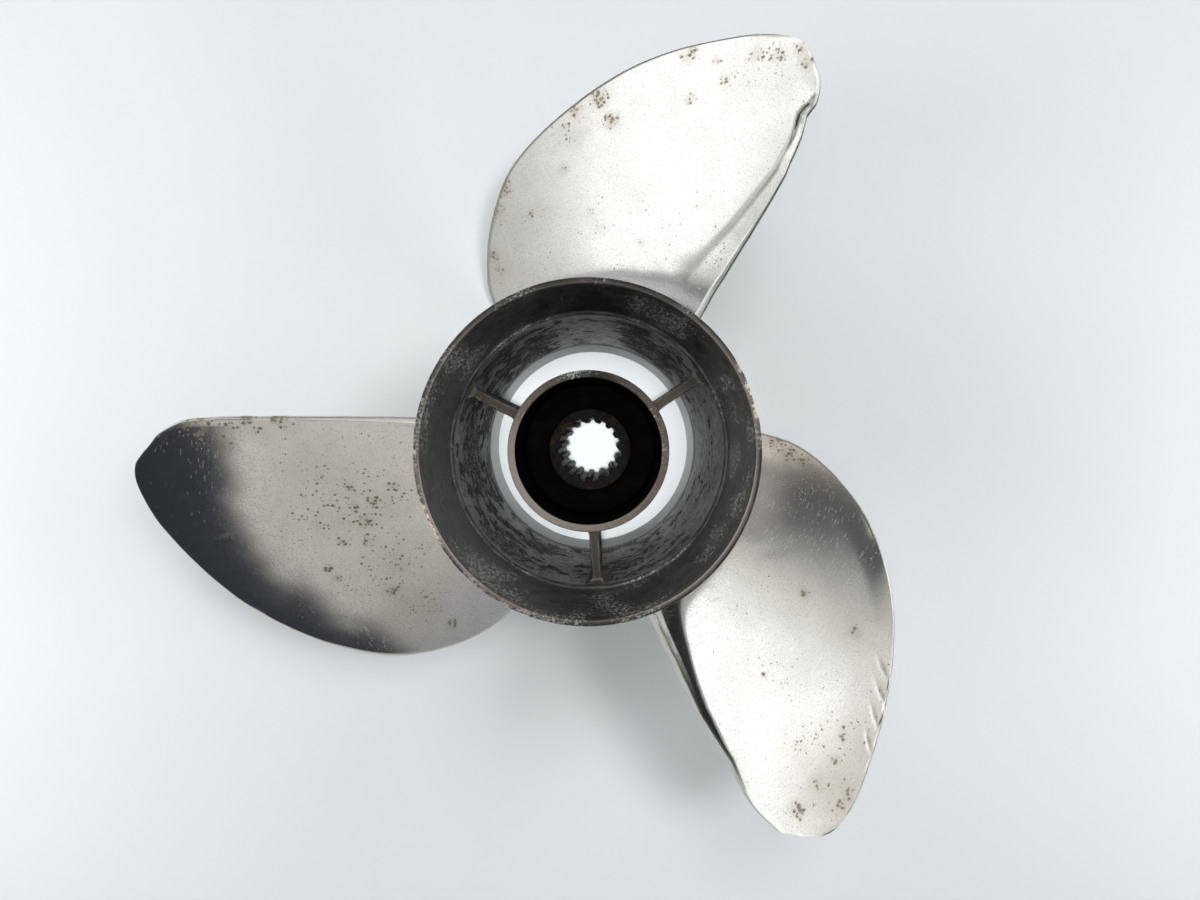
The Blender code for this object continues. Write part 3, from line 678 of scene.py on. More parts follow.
@finish("exhaust_blackened_cast_steel")
def sooted_casting(node):
    """Sand-cast stainless steel inside the hub, blackened by exhaust.

    It gives a dull blue-black skin of soot, a pitted channel wall that is rubbed grey between
    thick black crusts, pale ash specks, and bare brown-grey metal with pinkish scale on the rims.
    """
    place = node("TexCoord").outputs["Object"]
    bare, chip, channel, band, edge, soot = (
        node("Attribute", attribute_name=key).outputs["Fac"]
        for key in ("bare", "chip", "channel", "band", "edge", "soot"))

    # Lumps of the casting 5 mm across, a grain of 1.1 mm on them, fields of 20 mm, and turning
    # marks 9 mm long and 0.6 mm apart round the mouth, coarser than real ones so that they show
    lump, grain, field = (
        node("TexNoise", {"Vector": place, "Scale": per_metre(size), "Detail": detail, "Roughness": rough})
        for size, detail, rough in ((5, 7, 0.66), (1.1, 3, 0.7), (20, 3, 0.5)))
    round_it = node("VectorMath", (
        node("UVMap", uv_map="brush"), (per_metre(9), per_metre(0.6), 0.0)), operation="MULTIPLY")
    marks = node("TexNoise", {"Vector": round_it, "Scale": 1.0, "Detail": 3.0})

    rubbed = node("MapRange", (lump, 0.4, 0.6, 0.05))
    rubbed = node("Math", (rubbed, channel), operation="MULTIPLY")
    crust = node("Math", (soot, 0.22, lump), operation="MULTIPLY_ADD")
    crust = node("Math", (field, 0.7, crust), operation="MULTIPLY_ADD")
    crust = node("MapRange", (crust, 0.935, 1.0, 0.0, 0.98))
    crust = node("Math", (crust, channel), operation="MULTIPLY")
    # Soot, which also carries painted shade inside the hub, darkens the casting towards deep soot
    smoke_and_shade = node("MapRange", (lump, 0.35, 0.65, -0.15, 0.15))
    smoke_and_shade = node("Math", (marks, 1.2, smoke_and_shade), operation="MULTIPLY_ADD")
    smoke_and_shade = node("Math", (smoke_and_shade, 0.6), operation="SUBTRACT")
    smoke_and_shade = node("Math", (smoke_and_shade, soot), operation="ADD", use_clamp=True)
    ash = node("MapRange", (field, 0.44, 0.6, 0.0, 0.18))
    ash = node("Math", (ash, grain), operation="ADD")
    ash = node("MapRange", (ash, 0.67, 0.76, 0.0, 0.6))
    scale = node("MapRange", (grain, 0.42, 0.5))
    scale = node("Math", (scale, chip), operation="MULTIPLY")
    worn = node("MapRange", (grain, 0.35, 0.65, 0.6, 1.0))
    worn = node("Math", (worn, bare), operation="MULTIPLY")

    relief = node("Math", (lump, channel), operation="MULTIPLY")
    relief = node("Math", (relief, 1.2), operation="MULTIPLY")
    relief = node("Math", (grain, 0.06, relief), operation="MULTIPLY_ADD")
    layered(node, ("soot", 0.6, 0.40), (
        (smoke_and_shade, "soot_deep", 0.5, 0.46),
        (rubbed, "rubbed", 0.7, 0.42),
        (band, "turned", 0.7, 0.42),
        (crust, "soot_deep", 0.0, 0.75),
        (ash, "ash", 0.2, 0.6),
        (worn, "bare", 0.6, 0.45),
        # Painted highlight in the edge colour, over worn metal on the lip's inner edge
        (edge, "edge", 0.9, 0.32),
        (scale, "chip", 0.1, 0.6),
    ), relief, {})


@finish("moulded_black_rubber")
def moulded_rubber(node):
    """Moulded black rubber, dusted with soot: dead black with a faint dull grain."""
    place = node("TexCoord").outputs["Object"]
    grain, dust = (
        node("TexNoise", {"Vector": place, "Scale": per_metre(size), "Detail": 4.0}) for size in (0.8, 6))
    dust = node("MapRange", (dust, 0.5, 0.75, 0.0, 0.15))
    relief = node("Math", (grain, 0.05), operation="MULTIPLY")
    layered(node, ("rubber", 0.0, 0.72), (
        (dust, "soot_deep", 0.0, 0.85),
    ), relief, {"IOR": 1.52, "Specular IOR Level": 0.08})


@finish("rusted_machined_steel")
def rusted_steel(node):
    """Machined carbon steel rusted all over.

    It gives dark brown scale with orange pits, and flanks that still glint through the grease.
    """
    place = node("TexCoord").outputs["Object"]
    scale = node("TexNoise", {"Vector": place, "Scale": per_metre(2), "Detail": 5.0, "Roughness": 0.7})
    field = node("TexNoise", {"Vector": place, "Scale": per_metre(5), "Detail": 3.0})
    black = node("MapRange", (scale, 0.42, 0.62))
    bright = node("MapRange", (field, 0.58, 0.74, 0.0, 0.8))
    relief = node("Math", (scale, 0.35), operation="MULTIPLY")
    layered(node, ("rust", 0.25, 0.55), (
        (black, "soot_deep", 0.3, 0.55),
        (bright, "rust_bright", 0.2, 0.70),
    ), relief, {"Specular IOR Level": 0.2})


@finish("matt_studio_paper")
def studio_paper(node):
    """Matt studio paper with a faint tooth: pale, even and without gloss."""
    place = node("TexCoord").outputs["Object"]
    tooth = node("TexNoise", {"Vector": place, "Scale": per_metre(60), "Detail": 2.0})
    tooth = node("Math", (tooth, 0.05), operation="MULTIPLY")
    layered(node, ("floor", 0.0, 0.9), (
        (tooth, "floor_tooth", 0.0, 0.9),
    ), tooth, {"Specular IOR Level": 0.2})


# Pieces


class PROPELLER_OT_outer_hub(bpy.types.Operator):
    """Models the barrel with its flared, chipped lip, smooth mouth, ridge and rough channel"""

    bl_idname = "propeller.outer_hub"
    bl_label = "Outer hub"

    def execute(self, context):
        hub = context.scene.propeller_hub
        lip = HUB_HIGH.x
        mouth_radius = lip - hub.lip_width
        mouth_end = float(barrel_radius(hub, hub.mouth)) - hub.mouth_wall
        ridge = float(channel_radius(hub, hub.ridge))
        band = HUB_LENGTH - hub.front_band
        band_radius = float(channel_radius(hub, band))
        front_inner = hub.barrel_front - hub.front_wall
        flare = [
            (float(barrel_radius(hub, depth)), depth, 0.0)
            for depth in np.linspace(hub.lip_bevel, hub.flare, FLARE_POINTS)[1:]
        ]
        mouth = [
            (mix(mouth_radius, mouth_end, share * (1.4 - 0.4 * share)), hub.mouth * share, 0.0)
            for share in np.linspace(1.0, 0.0, MOUTH_POINTS)[1:-1]
        ]
        front = HUB_LENGTH - hub.front_chamfer
        corners = [
            (lip - hub.lip_bevel, 0.0, 0.2 * MM),
            (lip, hub.lip_bevel, 0.2 * MM),
            *flare,
            (float(barrel_radius(hub, front)), front, 0.3 * MM),
            (hub.barrel_front - hub.front_chamfer, HUB_LENGTH, 0.2 * MM),
            (front_inner, HUB_LENGTH, 0.3 * MM),
            (band_radius - hub.band_step, band + hub.band_step, 0.2 * MM),
            (band_radius, band, 0.2 * MM),
            (ridge, hub.ridge, 0.4 * MM),
            (ridge, hub.mouth + 0.5 * (hub.ridge - hub.mouth), 0.5 * MM),
            (mouth_end + hub.groove, hub.mouth + 0.25 * (hub.ridge - hub.mouth), 0.4 * MM),
            (mouth_end, hub.mouth, 0.4 * MM),
            *mouth,
            (mouth_radius, 0.0, hub.lip_round),
        ]
        points, faces, angles, radius, depth = turned_body(corners, 3.2 * MM, HUB_SEGMENTS)
        inside = radius < barrel_radius(hub, depth) - 1.2 * MM

        # The casting is uneven inside, and the lip is chipped at its left and right
        rough = lumps(points, 9 * MM, 3) + 0.5 * lumps(points, 3.5 * MM, 4)
        channel = smooth((depth - hub.ridge) / (5 * MM)) * smooth((band - depth) / (4 * MM)) * inside
        turn = np.degrees(angles)
        sides = np.max([
            share * smooth(reach - np.abs(turn - middle) / half)
            for middle, half, reach, share in CHIPPED_SIDES
        ], axis=0)
        near_edge = smooth(1.2 - (lip - radius) / (1.6 * MM)) * smooth(1.0 - depth / (5 * MM))
        chipping = lumps(points, 6.5 * MM, 5) + 0.7 * lumps(points, 2.2 * MM, 6)
        chip = near_edge * sides * smooth(chipping * 1.8 + 0.5)
        inward = 0.12 * MM * rough * channel + 0.40 * MM * chip
        points[:, :2] *= (1.0 - inward / radius)[:, None]
        points[:, 2] -= 0.25 * MM * chip * smooth(1.0 - depth / MM)

        on_lip = smooth(1.3 - depth / (0.5 * MM)) * (radius > mouth_radius - 0.2 * MM)
        outer_edge = smooth(1.6 - depth / (3 * MM)) * (1.0 - inside)
        bare = unit(np.maximum(on_lip, outer_edge)) * (0.38 + 0.25 * rough) * (0.45 + 0.55 * sides)
        # The lip's inner edge is worn bright, with a painted highlight whose strength varies round the hub
        inner_edge_highlight = np.exp(-(((radius - mouth_radius - 0.1 * MM) / (0.35 * MM)) ** 2))
        inner_edge_highlight *= smooth(1.0 - depth / (1.2 * MM)) * read(LIP_EDGE_HIGHLIGHT, turn)
        in_mouth = smooth((hub.mouth - depth) / (2 * MM)) * inside
        # The step of the ridge gets painted shade
        ridge_shade = smooth(1.0 - np.abs(depth - 0.5 * (hub.mouth + hub.ridge)) / (3 * MM)) * inside
        # Soot, with painted shade that varies round the mouth and the channel wall, on the ridge's step, and
        # on the turned band where it isn't painted light
        soot = read(MOUTH_SOOT_AND_SHADE, turn) * in_mouth
        soot += read(CHANNEL_SOOT_AND_SHADE, turn) * channel + 0.75 * ridge_shade + (1.0 - 0.3 * sides) * on_lip
        turned = smooth((depth - band + 5 * MM + 3 * MM * rough) / (10 * MM)) * inside
        # The turned band is painted light on some sides and painted shade on the others
        band_light = read(BAND_PAINTED_LIGHT, turn)
        soot += 0.6 * turned * (1.0 - band_light)
        near_lip = smooth(1.3 - depth / (14 * MM))
        shares = {
            "bare": bare, "chip": chip, "channel": channel,
            "edge": inner_edge_highlight, "soot": unit(soot),
            "band": 0.9 * turned * band_light,
            "stain": unit(near_lip * (0.75 + 0.5 * rough) + smooth(rough - 0.4) * 0.3),
            "scuff": 0.4, "pitting": 1.0,
        }
        brush = np.stack((angles * radius, depth), axis=-1)
        piece = new_piece(
            "outer_hub_casting", points, faces, (sooted_casting(), polished_stainless()),
            "outer_hub", shares, brush, 35.0,
        )
        middle = (depth + 1.0 * MM * rough)[faces].mean(axis=1)
        outside = ~inside[faces].any(axis=1) & (middle > 3 * MM) & (middle < HUB_LENGTH - 2 * MM)
        second_finish(piece, outside)
        return {"FINISHED"}


class PROPELLER_OT_inner_hub(bpy.types.Operator):
    """Models the tube that holds the rubber, with its turned brown rim"""

    bl_idname = "propeller.inner_hub"
    bl_label = "Inner hub"

    def execute(self, context):
        hub = context.scene.propeller_hub
        outer, bore = TUBE_HIGH.x, TUBE_HIGH.x - hub.tube_wall
        aft, front = LIP_HEIGHT - TUBE_HIGH.z, LIP_HEIGHT - TUBE_LOW.z
        ends = ((outer, aft), (outer, front), (bore, front), (bore, aft))
        corners = [(*end, hub.tube_chamfer) for end in ends]
        points, faces, angles, radius, depth = turned_body(corners, 2.5 * MM, TUBE_SEGMENTS)
        rough = lumps(points, 6 * MM, 11)
        wall = smooth((depth - aft) / (3 * MM)) * (radius > bore + MM)
        rim = smooth(1.6 - (depth - aft) / (0.6 * MM))
        # The rim's brown metal and its bright edge follow painted light and shade round the hub
        shine = read(RIM_PAINTED_LIGHT, np.degrees(angles))
        points[:, :2] *= (1.0 - 0.10 * MM * (1 + rough) * wall / radius)[:, None]
        shares = {
            "bare": rim * (0.9 + 0.1 * rough) * shine, "channel": wall,
            "edge": 0.8 * rim * unit(shine - 0.85), "soot": 0.95,
        }
        piece = new_piece(
            "inner_hub_tube", points, faces, (sooted_casting(), moulded_rubber()),
            "inner_hub", shares,
        )
        in_bore = (radius[faces] < bore + 0.2 * MM).all(axis=1) & (depth[faces].mean(axis=1) > aft + MM)
        second_finish(piece, in_bore)
        return {"FINISHED"}


class PROPELLER_OT_webs(bpy.types.Operator):
    """Models the three webs, with worn crests and fillets into the tube and the barrel"""

    bl_idname = "propeller.webs"
    bl_label = "Webs"

    def execute(self, context):
        hub = context.scene.propeller_hub
        aft, front = LIP_HEIGHT - WEB_HIGH.z, LIP_HEIGHT - WEB_LOW.z
        inner, half = TUBE_HIGH.x, hub.web_thickness / 2
        steps, around = WEB_STEPS, WEB_POINTS
        for index in range(WEB_COUNT):
            turn = Matrix.Rotation(hub.web_angle + math.tau * index / WEB_COUNT, 3, "Z")
            rows, crest, corner_highlight = [], [], []
            for step in range(steps + 1):
                share = 0.5 - 0.5 * math.cos(math.pi * step / steps)
                edge = aft + hub.web_slope * share
                outer = float(channel_radius(hub, edge + 6 * MM)) + 0.6 * MM
                radius = mix(inner - 0.4 * MM, outer, share)
                near = min(radius - inner, outer - 0.6 * MM - radius)
                part = 1.0 - min(1.0, max(0.0, near) / hub.web_fillet)
                swell = hub.web_fillet * (1.0 - math.sqrt(1.0 - part * part)) * (0.4 if share < 0.5 else 1.2)
                for corner in range(around):
                    angle = math.tau * corner / around
                    side = math.copysign(abs(math.sin(angle)) ** 0.45, math.sin(angle))
                    end = math.copysign(abs(math.cos(angle)) ** 0.06, math.cos(angle))
                    deep = mix(edge - swell, front + swell, 0.5 + 0.5 * end)
                    wall = float(channel_radius(hub, min(deep, HUB_LENGTH - hub.front_band)))
                    reach = min(radius, wall + 0.6 * MM) if share > 0.98 else radius
                    rows.append(turn @ Vector((reach, (half + swell) * side, height(deep))))
                    crest.append(max(0.0, 1.0 - (deep - edge + swell) / (0.5 * MM)))
                    # The crest's corners get a painted highlight in the edge colour
                    corner_highlight.append(0.6 * crest[-1] * max(0.0, abs(side) - 0.75) / 0.25)
            points = np.array([tuple(point) for point in rows])
            crest = unit(crest)
            faces = [list(face) for face in grid_faces(steps + 1, around)]
            faces.append(list(range(around))[::-1])
            faces.append([steps * around + corner for corner in range(around)])
            shares = {"bare": crest * 0.6, "channel": 1.0 - crest, "edge": corner_highlight, "soot": 0.75}
            name = f"web_{index + 1}"
            new_piece(
                f"{name}_casting", points, faces, (sooted_casting(),), name,
                shares,
            )
        return {"FINISHED"}


class PROPELLER_OT_rubber(bpy.types.Operator):
    """Models the rubber between the tube and the sleeve, swollen round the sleeve"""

    bl_idname = "propeller.rubber"
    bl_label = "Rubber bushing"

    def execute(self, context):
        sleeve = context.scene.propeller_sleeve
        inner, outer = SLEEVE_HIGH.x + 0.1 * MM, RUBBER_HIGH.x
        aft, front = LIP_HEIGHT - RUBBER_HIGH.z, LIP_HEIGHT - RUBBER_LOW.z
        bulge = sleeve.rubber_bulge
        corners = [
            (outer, aft + bulge, sleeve.rubber_crown), (outer, front - bulge, sleeve.rubber_crown),
            (inner + 3 * MM, front, 1.5 * MM), (inner, front, 0.8 * MM),
            (inner, aft, 0.8 * MM), (inner + 3 * MM, aft, 1.5 * MM),
        ]
        points, faces, *_ = turned_body(corners, 2 * MM, RUBBER_SEGMENTS)
        new_piece(
            "rubber_bushing_moulding", points, faces, (moulded_rubber(),), "rubber_bushing",
        )
        return {"FINISHED"}


class PROPELLER_OT_sleeve(bpy.types.Operator):
    """Models the rusted sleeve with its rounded, pitted spline teeth"""

    bl_idname = "propeller.sleeve"
    bl_label = "Splined sleeve"

    def execute(self, context):
        sizes = context.scene.propeller_sleeve
        outer, major, minor = SLEEVE_HIGH.x, sizes.major, sizes.minor
        aft, front = LIP_HEIGHT - SLEEVE_HIGH.z, LIP_HEIGHT - SLEEVE_LOW.z
        columns = sizes.splines * TOOTH_SEGMENTS
        angles = np.arange(columns) * (math.tau / columns)
        wave = np.cos((angles - sizes.phase) * sizes.splines)
        tooth = smooth(0.5 + 0.95 * wave)
        bore = mix(minor, major, tooth)

        wall = outer - minor
        corners = [
            (wall, aft, sizes.chamfer), (wall, front, sizes.chamfer),
            (0.0, front, 0.5 * MM), (0.0, aft, 0.5 * MM),
        ]
        profile = rounded_run(corners, 1.6 * MM)
        rows = []
        for across, depth in profile:
            radius = mix(bore, outer, unit(across / wall))
            z = np.full(columns, height(depth))
            rows.append(np.stack((radius * np.cos(angles), radius * np.sin(angles), z), axis=-1))
        points = np.concatenate(rows)
        radius = np.hypot(points[:, 0], points[:, 1])
        pitting = lumps(points, 1.3 * MM, 21) + 0.6 * lumps(points, 0.6 * MM, 22)
        worn = unit(pitting - 0.1) * 0.22 * MM
        inside = radius < mix(minor, outer, 0.4)
        points[:, :2] *= (1.0 + np.where(inside, worn, -0.5 * worn) / radius)[:, None]
        aft_face = smooth(1.0 - (LIP_HEIGHT - points[:, 2] - aft) / MM)
        points[:, 2] -= worn * aft_face
        new_piece(
            "spline_sleeve_rusted", points, grid_faces(len(profile), columns, wrap_rows=True),
            (rusted_steel(),), "spline_sleeve", sharp=60.0,
        )
        return {"FINISHED"}


def rounded_path(points, steps):
    """A smooth path through the points, as short straight pieces."""
    first = [2 * a - b for a, b in zip(points[0], points[1])]
    last = [2 * a - b for a, b in zip(points[-1], points[-2])]
    knots = [first, *points, last]
    path = []
    for before, start, end, after in zip(knots, knots[1:], knots[2:], knots[3:]):
        for step in range(steps):
            t = step / steps
            path.append(tuple(
                0.5 * (2 * b + (c - a) * t + (2 * a - 5 * b + 4 * c - d) * t * t
                       + (3 * b - a - 3 * c + d) * t * t * t)
                for a, b, c, d in zip(before, start, end, after)
            ))
    path.append(tuple(points[-1]))
    return np.array(path)


class BladeForm:
    """The blade's screw surface with its outline, as the sizes give it."""

    def __init__(self, hub, blade):
        self.hub = hub
        self.blade = blade
        self.sweep = math.tau * (blade.leading_root - blade.trailing_root) / blade.pitch
        self.start = blade.tip_angle - TIP_POINT[1] * self.sweep
        whole = rounded_path([*LEADING_OUTLINE, TIP_POINT, *TRAILING_OUTLINE], OUTLINE_STEPS)
        tip = len(LEADING_OUTLINE) * OUTLINE_STEPS
        self.leading = whole[: tip + 1]
        self.trailing = whole[tip:][::-1]

    def edge(self, path, shares):
        """Points at these shares of an edge's length, and the edge's length."""
        span = self.blade.tip_radius - self.hub.barrel_aft
        arc = self.sweep * mix(self.hub.barrel_aft, self.blade.tip_radius, 0.6)
        steps = np.hypot(*(np.diff(path, axis=0) * (span, arc)).T)
        along = np.concatenate(([0.0], np.cumsum(steps)))
        places = [np.interp(shares * along[-1], along, path[:, axis]) for axis in (0, 1)]
        return np.stack(places, axis=-1), along[-1]

    def face(self, span, sweep):
        """Angle, height and radius of the aft face, and its height above the barrel."""
        blade = self.blade
        angle = self.start + sweep * self.sweep
        z = height(blade.trailing_root + blade.pitch * sweep * self.sweep / math.tau)
        z = z + blade.rake * span * span
        seat = barrel_radius(self.hub, LIP_HEIGHT - z)
        return angle, z, mix(seat, blade.tip_radius, span), seat

    def place(self, span, sweep, lift, offset, ahead):
        """The point over the aft face, moved along the face's normal and along its helix."""
        angle, z, radius, _ = self.face(span, sweep)
        slope = self.blade.pitch / (math.tau * radius)
        along_z = 1.0 / np.hypot(1.0, slope)
        along_turn = slope * along_z
        turned = along_turn * offset + along_z * ahead
        x = radius * np.cos(angle) - turned * np.sin(angle)
        y = radius * np.sin(angle) + turned * np.cos(angle)
        return np.stack((x, y, z + lift + along_z * offset - along_turn * ahead), axis=-1)

    def thickness(self, span, chord):
        blade = self.blade
        outward = unit(1.0 - span)
        most = mix(blade.tip_thickness, blade.root_thickness, outward**1.6)
        ends = mix(blade.leading_edge, mix(blade.trailing_root_edge, blade.trailing_tip_edge, span), chord)
        belly = unit(np.sin(np.pi * unit(chord) ** 0.9)) ** 0.8
        return ends + np.clip(most - ends, 0.0, None) * belly

    def swell(self, span, sweep):
        """How far the root fillet grows outward at this height above the barrel."""
        _, _, radius, seat = self.face(span, sweep)
        part = 1.0 - unit((radius - seat) / self.blade.fillet)
        return self.blade.swell * (1.0 - np.sqrt(1.0 - part * part))


def edge_shares(form, fillet_rows, rows):
    """Shares of the edges' length at which a blade has its rows, close in the root fillet."""
    fillet_share = form.blade.fillet / (form.blade.tip_radius - form.hub.barrel_aft)
    low = fillet_share * (np.arange(fillet_rows) / fillet_rows) ** 1.8
    even = np.arange(rows) / (rows - 1)
    high = mix(fillet_share, 0.9985, 1.0 - (1.0 - even) ** 1.25)
    return np.concatenate((low, high))


def bend(values, place, softness):
    """Zero before the place, then rising in step with the values, with a soft bend between."""
    past = values - place
    return 0.5 * (past + np.sqrt(past * past + softness * softness))


def edge_bites(index, shares, lengths):
    """How far each edge lies inside the common outline, row by row, in metres."""
    bites = {}
    for edge, seed in (("leading", 31), ("trailing", 37)):
        line = np.stack((shares * lengths[edge], np.full(len(shares), index * 0.7), shares * 0), axis=-1)
        bite = read(OUTLINE_SHIFTS[index][edge], shares) * MM
        bite += 0.10 * MM * lumps(line, 6 * MM, seed)
        bite += 0.35 * MM * unit(lumps(line, 2.2 * MM, seed + 1) - 0.35)
        for damaged, place, reach, depth, _, _ in EDGE_DAMAGE[index]:
            if damaged == edge:
                away = (shares - place) * lengths[edge] / (reach * MM)
                bite += depth * MM * np.exp(-2.0 * away * away)
        bites[edge] = bite
    return bites


def edge_lift(index, shares, lengths, distances):
    """Lift of the bent strips along both edges, at each point of the face."""
    lift = 0.0
    for edge, place, reach, _, height_there, width in EDGE_DAMAGE[index]:
        away = (shares - place) * lengths[edge] / (reach * MM)
        strip = unit(1.0 - distances[edge] / (width * MM)) ** 1.7
        lift = lift + height_there * MM * np.exp(-2.0 * away * away)[:, None] * strip
    return lift


class PROPELLER_OT_blades(bpy.types.Operator):
    """Models the three blades with curled trailing edges, root fillets, nicks and bent edges"""

    bl_idname = "propeller.blades"
    bl_label = "Blades"

    def execute(self, context):
        form = BladeForm(context.scene.propeller_hub, context.scene.propeller_blades)
        for index in range(BLADE_COUNT):
            make_blade(form, index)
        return {"FINISHED"}


def make_blade(form, index):
    blade = form.blade
    shares = edge_shares(form, FILLET_ROWS, BLADE_ROWS)
    leading, leading_length = form.edge(form.leading, shares)
    trailing, trailing_length = form.edge(form.trailing, shares)
    lengths = {"leading": leading_length, "trailing": trailing_length}
    worn = TIP_WEAR[index] * MM / (blade.tip_radius - form.hub.barrel_aft)
    for path in (leading, trailing):
        path[:, 0] -= worn * smooth((path[:, 0] - 0.75) / 0.25)
    bites = edge_bites(index, shares, lengths)

    steps = np.linspace(0.0, 1.0, BLADE_COLUMNS)
    chord = mix(steps, 0.5 - 0.5 * np.cos(np.pi * steps), 0.6)[None, :]
    middle = mix(form.hub.barrel_aft, blade.tip_radius, (leading[:, 0] + trailing[:, 0]) / 2)
    across = np.maximum(middle * (leading[:, 1] - trailing[:, 1]) * form.sweep, MM)[:, None]
    kept = smooth(across / (25 * MM))
    start = kept * np.clip(bites["leading"][:, None] / across, -0.1, 0.25)
    end = 1.0 - kept * np.clip(bites["trailing"][:, None] / across, -0.1, 0.25)
    chord = mix(start, end, chord)
    span = mix(leading[:, :1], trailing[:, :1], chord)
    sweep = mix(leading[:, 1:], trailing[:, 1:], chord)

    # The curl along the trailing edge starts at a crease and steepens towards the edge
    spans, *columns = zip(*CURLS[index])
    curl_width, slope, split, lip, soft = (np.interp(span, spans, column) for column in columns)
    curl_width *= MM
    from_trailing = (end - chord) * across
    from_leading = (chord - start) * across
    curl = np.maximum(1.0 - from_trailing / curl_width, -2.0)
    lift = curl_width * (slope * bend(curl, 0.05, soft) + (lip - slope) * bend(curl, split, 0.06))
    lift += edge_lift(index, shares, lengths, {"leading": from_leading, "trailing": from_trailing})
    bevel = read(LEADING_BEVELS[index], shares)[:, None] * MM
    lift -= bevel * unit(1.0 - from_leading / (1.1 * MM))
    low = unit(1.0 - span / 0.05)
    lift *= 1.0 - low

    swell = form.swell(span, sweep)
    thick = form.thickness(span, chord)
    dents, groove_shade = face_dents(form, index, span, sweep, from_trailing)
    lift -= dents
    aft = form.place(span, sweep, lift, swell, 0.0)
    front = form.place(span, sweep, lift, -thick - swell, 0.0)

    def round_end(column, outward, bulge):
        """Points round one edge, from the aft face to the front face."""
        half = thick[:, column] / 2
        ring = []
        for turn in np.linspace(math.pi / 2, -math.pi / 2, EDGE_POINTS + 2)[1:-1]:
            offset = half * (math.sin(turn) - 1.0) + swell[:, column] * math.sin(turn)
            ahead = outward * math.cos(turn) * (half * bulge + swell[:, column])
            ring.append(form.place(span[:, column], sweep[:, column], lift[:, column], offset, ahead))
        return np.stack(ring, axis=1)

    tail = round_end(-1, -1.0, 0.25)
    nose = round_end(0, 1.0, 1.0)[:, ::-1]
    loops = np.concatenate((aft, tail, front[:, ::-1], nose), axis=1)
    rows, columns = loops.shape[:2]
    radius = np.hypot(loops[0, :, 0], loops[0, :, 1])
    foot = barrel_radius(form.hub, LIP_HEIGHT - loops[0, :, 2]) - blade.sink
    loops[0, :, :2] *= (foot / radius)[:, None]
    turn = math.tau * index / BLADE_COUNT + math.radians(BLADE_TURNS[index])
    points = loops.reshape(-1, 3) @ np.array(Matrix.Rotation(turn, 3, "Z")).T

    count, tail_count = aft.shape[1], tail.shape[1]
    faces = [list(face) for face in grid_faces(rows, columns)]
    for row, flip in ((0, True), (rows - 1, False)):
        ring = list(range(row * columns, (row + 1) * columns))
        first, tail_ring = ring[:count], ring[count : count + tail_count]
        back, nose_ring = ring[count + tail_count :][:count][::-1], ring[2 * count + tail_count :]
        caps = [[a, b, c, d] for a, b, c, d in zip(first, first[1:], back[1:], back)]
        caps += [[first[-1], *tail_ring, back[-1]], [back[0], *nose_ring, first[0]]]
        faces.extend([face[::-1] for face in caps] if flip else caps)

    # Darker steel, rubbed steel, grime and painted shade follow the edges and the crease, on both faces and
    # round the edges: the crease holds grime and painted shade, and the deep grooves painted shade
    near = smooth(1.5 - from_leading / (LEADING_DARKENING_WIDTHS[index] * MM))
    crease = np.exp(-(((curl - 0.02) / 0.10) ** 2)) * smooth((slope - 0.15) / 0.2)
    grime_and_shade = np.maximum(near * read(LEADING_DARKENING[index], shares)[:, None], CREASE_GRIME_AND_SHADE[index] * crease)
    grime_and_shade = np.maximum(grime_and_shade, groove_shade)
    shine = near * read(LEADING_SHINE[index], shares)[:, None]
    shine = np.maximum(shine, 0.5 * smooth(1.5 - from_trailing / (0.6 * MM)))
    around = [
        np.concatenate((
            values, np.repeat(values[:, -1:], tail_count, 1), values[:, ::-1],
            np.repeat(values[:, :1], nose.shape[1], 1),
        ), axis=1).ravel()
        for values in (grime_and_shade, shine, chord * across)
    ]
    wear = {"grime_and_shade": around[0], "rubbed": around[1], **blade_wear(form, index, points, turn)}
    spread = np.hypot(points[:, 0], points[:, 1])
    brush = np.stack((around[2], spread), axis=-1)
    name = f"blade_{index + 1}"
    new_piece(
        f"{name}_polished", points, faces, (polished_stainless(),), name,
        wear, brush, 50.0,
    )


def face_dents(form, index, span, sweep, from_trailing):
    """Depth of a blade's dents and slight unevenness at each point of its face, and the painted shade in its
    deep grooves.
    """
    _, _, radius, _ = form.face(span, sweep)
    flat = np.stack((from_trailing, radius, np.full_like(radius, index * 0.4)), axis=-1)
    uneven = lumps(flat.reshape(-1, 3), 24 * MM, 51) + 0.4 * lumps(flat.reshape(-1, 3), 9 * MM, 52)
    depth = 0.05 * MM * uneven.reshape(radius.shape)
    groove_shade = np.zeros_like(radius)
    for at_span, at_sweep, reach, width, deep, direction in DENTS[index]:
        _, _, centre, _ = form.face(np.array(at_span), np.array(at_sweep))
        ahead = (sweep - at_sweep) * form.sweep * radius
        outward = radius - centre
        turn = math.radians(direction)
        along = ahead * math.cos(turn) + outward * math.sin(turn)
        across = outward * math.cos(turn) - ahead * math.sin(turn)
        near = (along / (reach * MM)) ** 2 + (across / (width * MM)) ** 2
        depth = depth + deep * MM * np.exp(-near)
        # Deep grooves get painted shade in the pit colour
        if deep > 0.25:
            groove_shade = np.maximum(groove_shade, 0.6 * np.exp(-1.5 * near))
    return depth, groove_shade


